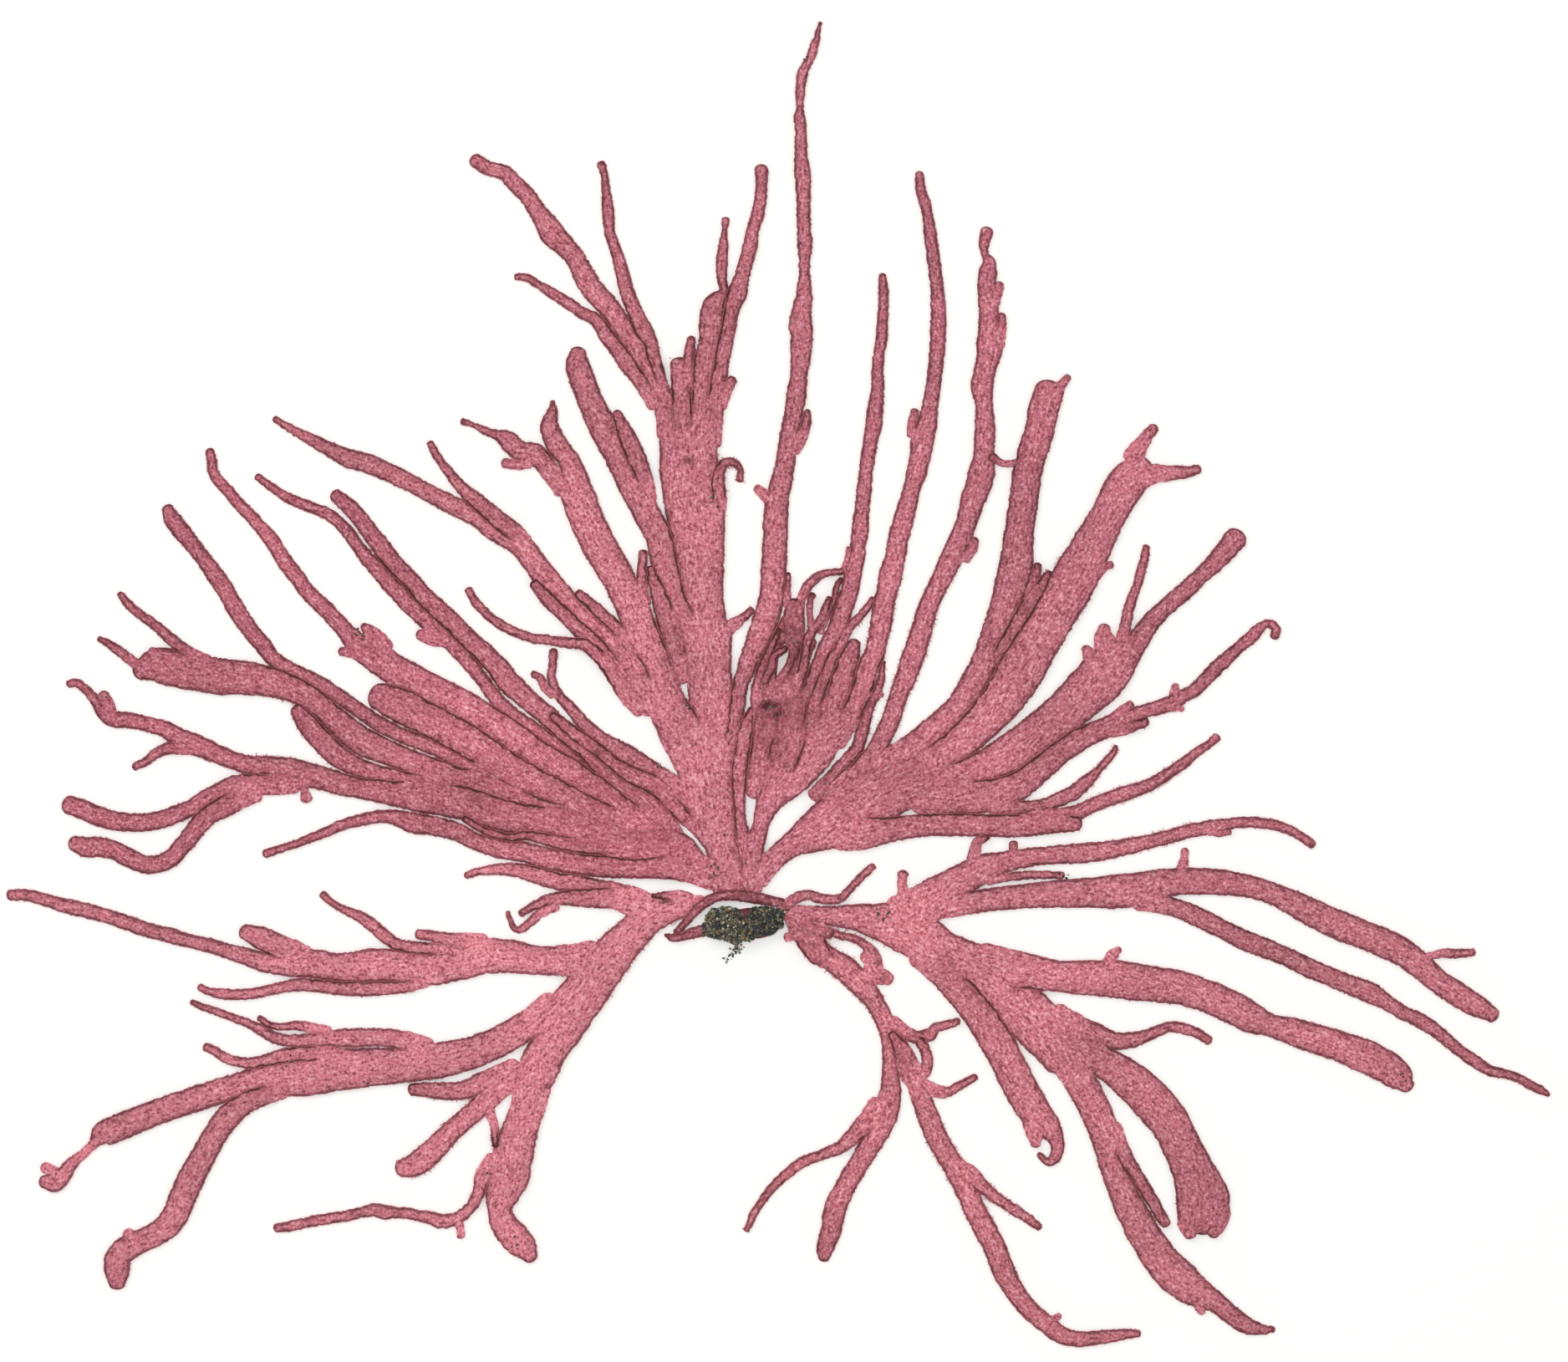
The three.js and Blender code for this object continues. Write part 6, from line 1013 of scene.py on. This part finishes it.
sediment = sedimentMaterial()
draw = random.Random(5)
for node, outline in crust["outlines"].items():
    mesh = bmesh.new()
    layer = mesh.verts.layers.float.new("grain")
    low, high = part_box(node)
    middle = (low + high) / 2
    size = (high - low) / 2
    share = crust["core"]
    foot = Vector((middle.x, middle.y, crust["foot"] * mm + size.z * share[2]))
    spread = (size.x * share[0], size.y * share[1], size.z * share[2], 1)
    matrix = Matrix.Translation(foot) @ Matrix.Diagonal(spread)
    core = bmesh.ops.create_icosphere(mesh, subdivisions=3, radius=1.0, matrix=matrix)
    for vert in core["verts"]:
        vert[layer] = 0.1
    placed = 0
    while placed < crust["grains"]:
        point = (draw.uniform(-4.2, 4.2), draw.uniform(-3.2, 0.5))
        if not inside(point, outline):
            continue
        depth = min(1.0, rimDistance(point, outline) / crust["slope"])
        radius = crust["smallest"] + (crust["largest"] - crust["smallest"]) * draw.random() ** 2
        bumps = 0.75 + 0.5 * noise.noise(Vector((*point, 3.0)))
        dome = crust["height"] * math.sqrt(1 - (1 - depth) ** 2) * bumps
        z = crust["foot"] + max(radius, draw.uniform(0.6, 1.0) * dome)
        addGrain(mesh, layer, *point, z, radius, draw, crust["paleness"][node])
        placed += 1
    finishPiece(mesh, node + "_grains", sediment, node)

holdfast = {
    "disc": 0.9,  # height in mm
    "reach": (3.6, 1.6),
    "middle": (0.0, -1.3),
    "shreds": ["-6.9,-2.2,.7 -5.8,-.9,.8 -4.4,.6,1 -2.8,1.5,1 -1.2,1.7,1.1"
               " .6,1.5,1.2 2.2,1.2,1.1 3.6,.9,1 5,.3,1",
               "-8,-2.4,0.4 -7.2,-2.7,0.8 -6.2,-2.5,0.9 -5.2,-2.2,1.1 -3.8,-1.9,1.2"],
}


def holdfastPiece():
    mesh, layers = newFrondMesh()
    shapes = []
    for number, text in enumerate(holdfast["shreds"]):
        shape = strapShape(parseCourses(text)[0], 300 + number)
        drape(shape)
        shape["clear"] = np.zeros_like(shape["x"])
        # less painted overlap shade on the holdfast shreds
        shape["layers"] = shape["layers"] * 0.25
        shapes.append(shape)
    for shape in shapes:
        addStrap(mesh, layers, shape, 0.97)
    centre = Vector((*holdfast["middle"], 0.0)) * mm
    reach = Vector((*holdfast["reach"], holdfast["disc"])) * mm
    matrix = Matrix.Translation(centre) @ Matrix.Diagonal((*reach, 1))
    disc = bmesh.ops.create_icosphere(mesh, subdivisions=5, radius=1.0, matrix=matrix)
    for vert in disc["verts"]:
        wobble = noise.noise(vert.co * 900) * 0.12
        vert.co.x += (vert.co.x - centre.x) * wobble
        vert.co.y += (vert.co.y - centre.y) * wobble
        vert.co.z = max(0.0, vert.co.z)
        vert[layers["margin"]] = 1.0
        vert[layers["tone"]] = 0.6
        # the disc counts as two straps below, for painted overlap shade
        vert[layers["stacked"]] = 2.0
    material = tissueMaterial("holdfast_tissue", linear(176, 98, 108))
    finishPiece(mesh, "holdfast_disc", material, "holdfast")


holdfastPiece()

# grains stuck on the blades: x,y,spread,count
strayGrains = parseCourses("""
-39.3,28.5,0.3,6 -65.7,21.8,0.25,4 -3.4,42.1,0.35,16 -5.6,46,0.3,6 -5.3,20.7,0.3,4 -1.7,16.9,0.25,3
2.8,21,0.25,4 5.2,27.6,0.35,6 -26.4,-26.7,0.3,4 -23.5,-34.2,0.3,4 -46.8,-15.5,0.3,4
-38.7,-17.5,0.3,4 14.2,-0.5,0.6,18 33,3.7,0.4,8 6.3,87.5,0.2,3 40.3,29.4,0.3,4 67.5,-17,0.3,4
-7.4,56.5,0.3,4 -3.3,4.6,0.4,8 -3,3.6,0.3,5 -1.8,7.9,0.2,3 -8.6,14.6,0.3,5 8.2,-1.7,0.3,5
12.9,-9.4,0.3,5 -1.2,4.6,0.15,2
""")[0]


def strayGrainPiece():
    mesh = bmesh.new()
    layer = mesh.verts.layers.float.new("grain")
    draws = random.Random(17)
    for x, y, spread, count in strayGrains:
        for _ in range(int(count)):
            gx, gy = draws.gauss(x, spread), draws.gauss(y, spread)
            radius = draws.uniform(0.06, 0.15)
            top = heights.sample(heights.tops, np.array([gx]), np.array([gy]))[0]
            if top < 0.3:
                continue
            addGrain(mesh, layer, gx, gy, top + radius * 0.2, radius, draws)
    for step in range(46):
        along = step / 45
        x = -1.2 + 0.5 * math.sin(along * 5) + draws.gauss(0, 0.35 * (1 - 0.5 * along))
        y = -3.1 - 2.1 * along + draws.gauss(0, 0.15)
        radius = draws.uniform(0.07, 0.2) * (1.2 - 0.6 * along)
        addGrain(mesh, layer, x, y, radius * 1.3, radius, draws)
    finishPiece(mesh, "stray_grains", sediment, None)


strayGrainPiece()

# floor, light and camera

studio = {
    "photoWide": 1876,
    "photoHigh": 1629,
    "perPixel": 20 / 233.5,  # mm: the scale bar
    "holdfastPixel": (890, 1090),
    "lens": 200.0,
    "sensor": 36.0,
    "floorSize": 3.0,
    "floorColour": linear(250, 250, 247),
    "worldStrength": 0.42,
    "softboxes": [((-0.5, 0.55, 0.9), 0.7, 2.4), ((0.6, -0.3, 1.0), 0.9, 1.2), ((-0.06, 0.08, 1.7), 0.3, 14.0)],
}


def softbox(name, place, size, power):
    lamp = bpy.data.lights.new(name, "AREA")
    lamp.shape = "SQUARE"
    lamp.size = size
    lamp.energy = power
    holder = bpy.data.objects.new(name, lamp)
    bpy.context.scene.collection.objects.link(holder)
    holder.location = place
    holder.rotation_euler = (-Vector(place)).to_track_quat("-Z", "Y").to_euler()


def makeStudio():
    mesh = bmesh.new()
    bmesh.ops.create_grid(mesh, x_segments=8, y_segments=8, size=studio["floorSize"] / 2)
    data = bpy.data.meshes.new("floor")
    mesh.to_mesh(data)
    mesh.free()
    floor = bpy.data.objects.new("floor", data)
    bpy.context.scene.collection.objects.link(floor)
    g = Graph("pale_floor")
    g.shader.inputs["Base Color"].default_value = studio["floorColour"]
    g.shader.inputs["Roughness"].default_value = 0.9
    g.shader.inputs["Specular IOR Level"].default_value = 0.1
    data.materials.append(g.material)
    floor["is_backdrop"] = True
    world = bpy.data.worlds.new("studio")
    bpy.context.scene.world = world
    world.use_nodes = True
    world.node_tree.nodes["Background"].inputs["Color"].default_value = (1, 1, 1, 1)
    world.node_tree.nodes["Background"].inputs["Strength"].default_value = studio["worldStrength"]
    for number, (place, size, power) in enumerate(studio["softboxes"]):
        softbox("softbox_" + "abc"[number], place, size, power)


def makeCamera():
    wide = studio["photoWide"] * studio["perPixel"] * mm
    x = (studio["photoWide"] / 2 - studio["holdfastPixel"][0]) * studio["perPixel"] * mm
    y = (studio["holdfastPixel"][1] - studio["photoHigh"] / 2) * studio["perPixel"] * mm
    lens = bpy.data.cameras.new("camera")
    lens.lens = studio["lens"]
    lens.sensor_width = studio["sensor"]
    lens.clip_end = 20.0
    camera = bpy.data.objects.new("camera", lens)
    bpy.context.scene.collection.objects.link(camera)
    camera.location = (x, y, wide / studio["sensor"] * studio["lens"])
    bpy.context.scene.camera = camera


makeStudio()
makeCamera()
bpy.context.scene.view_settings.view_transform = "Standard"

low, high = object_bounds()
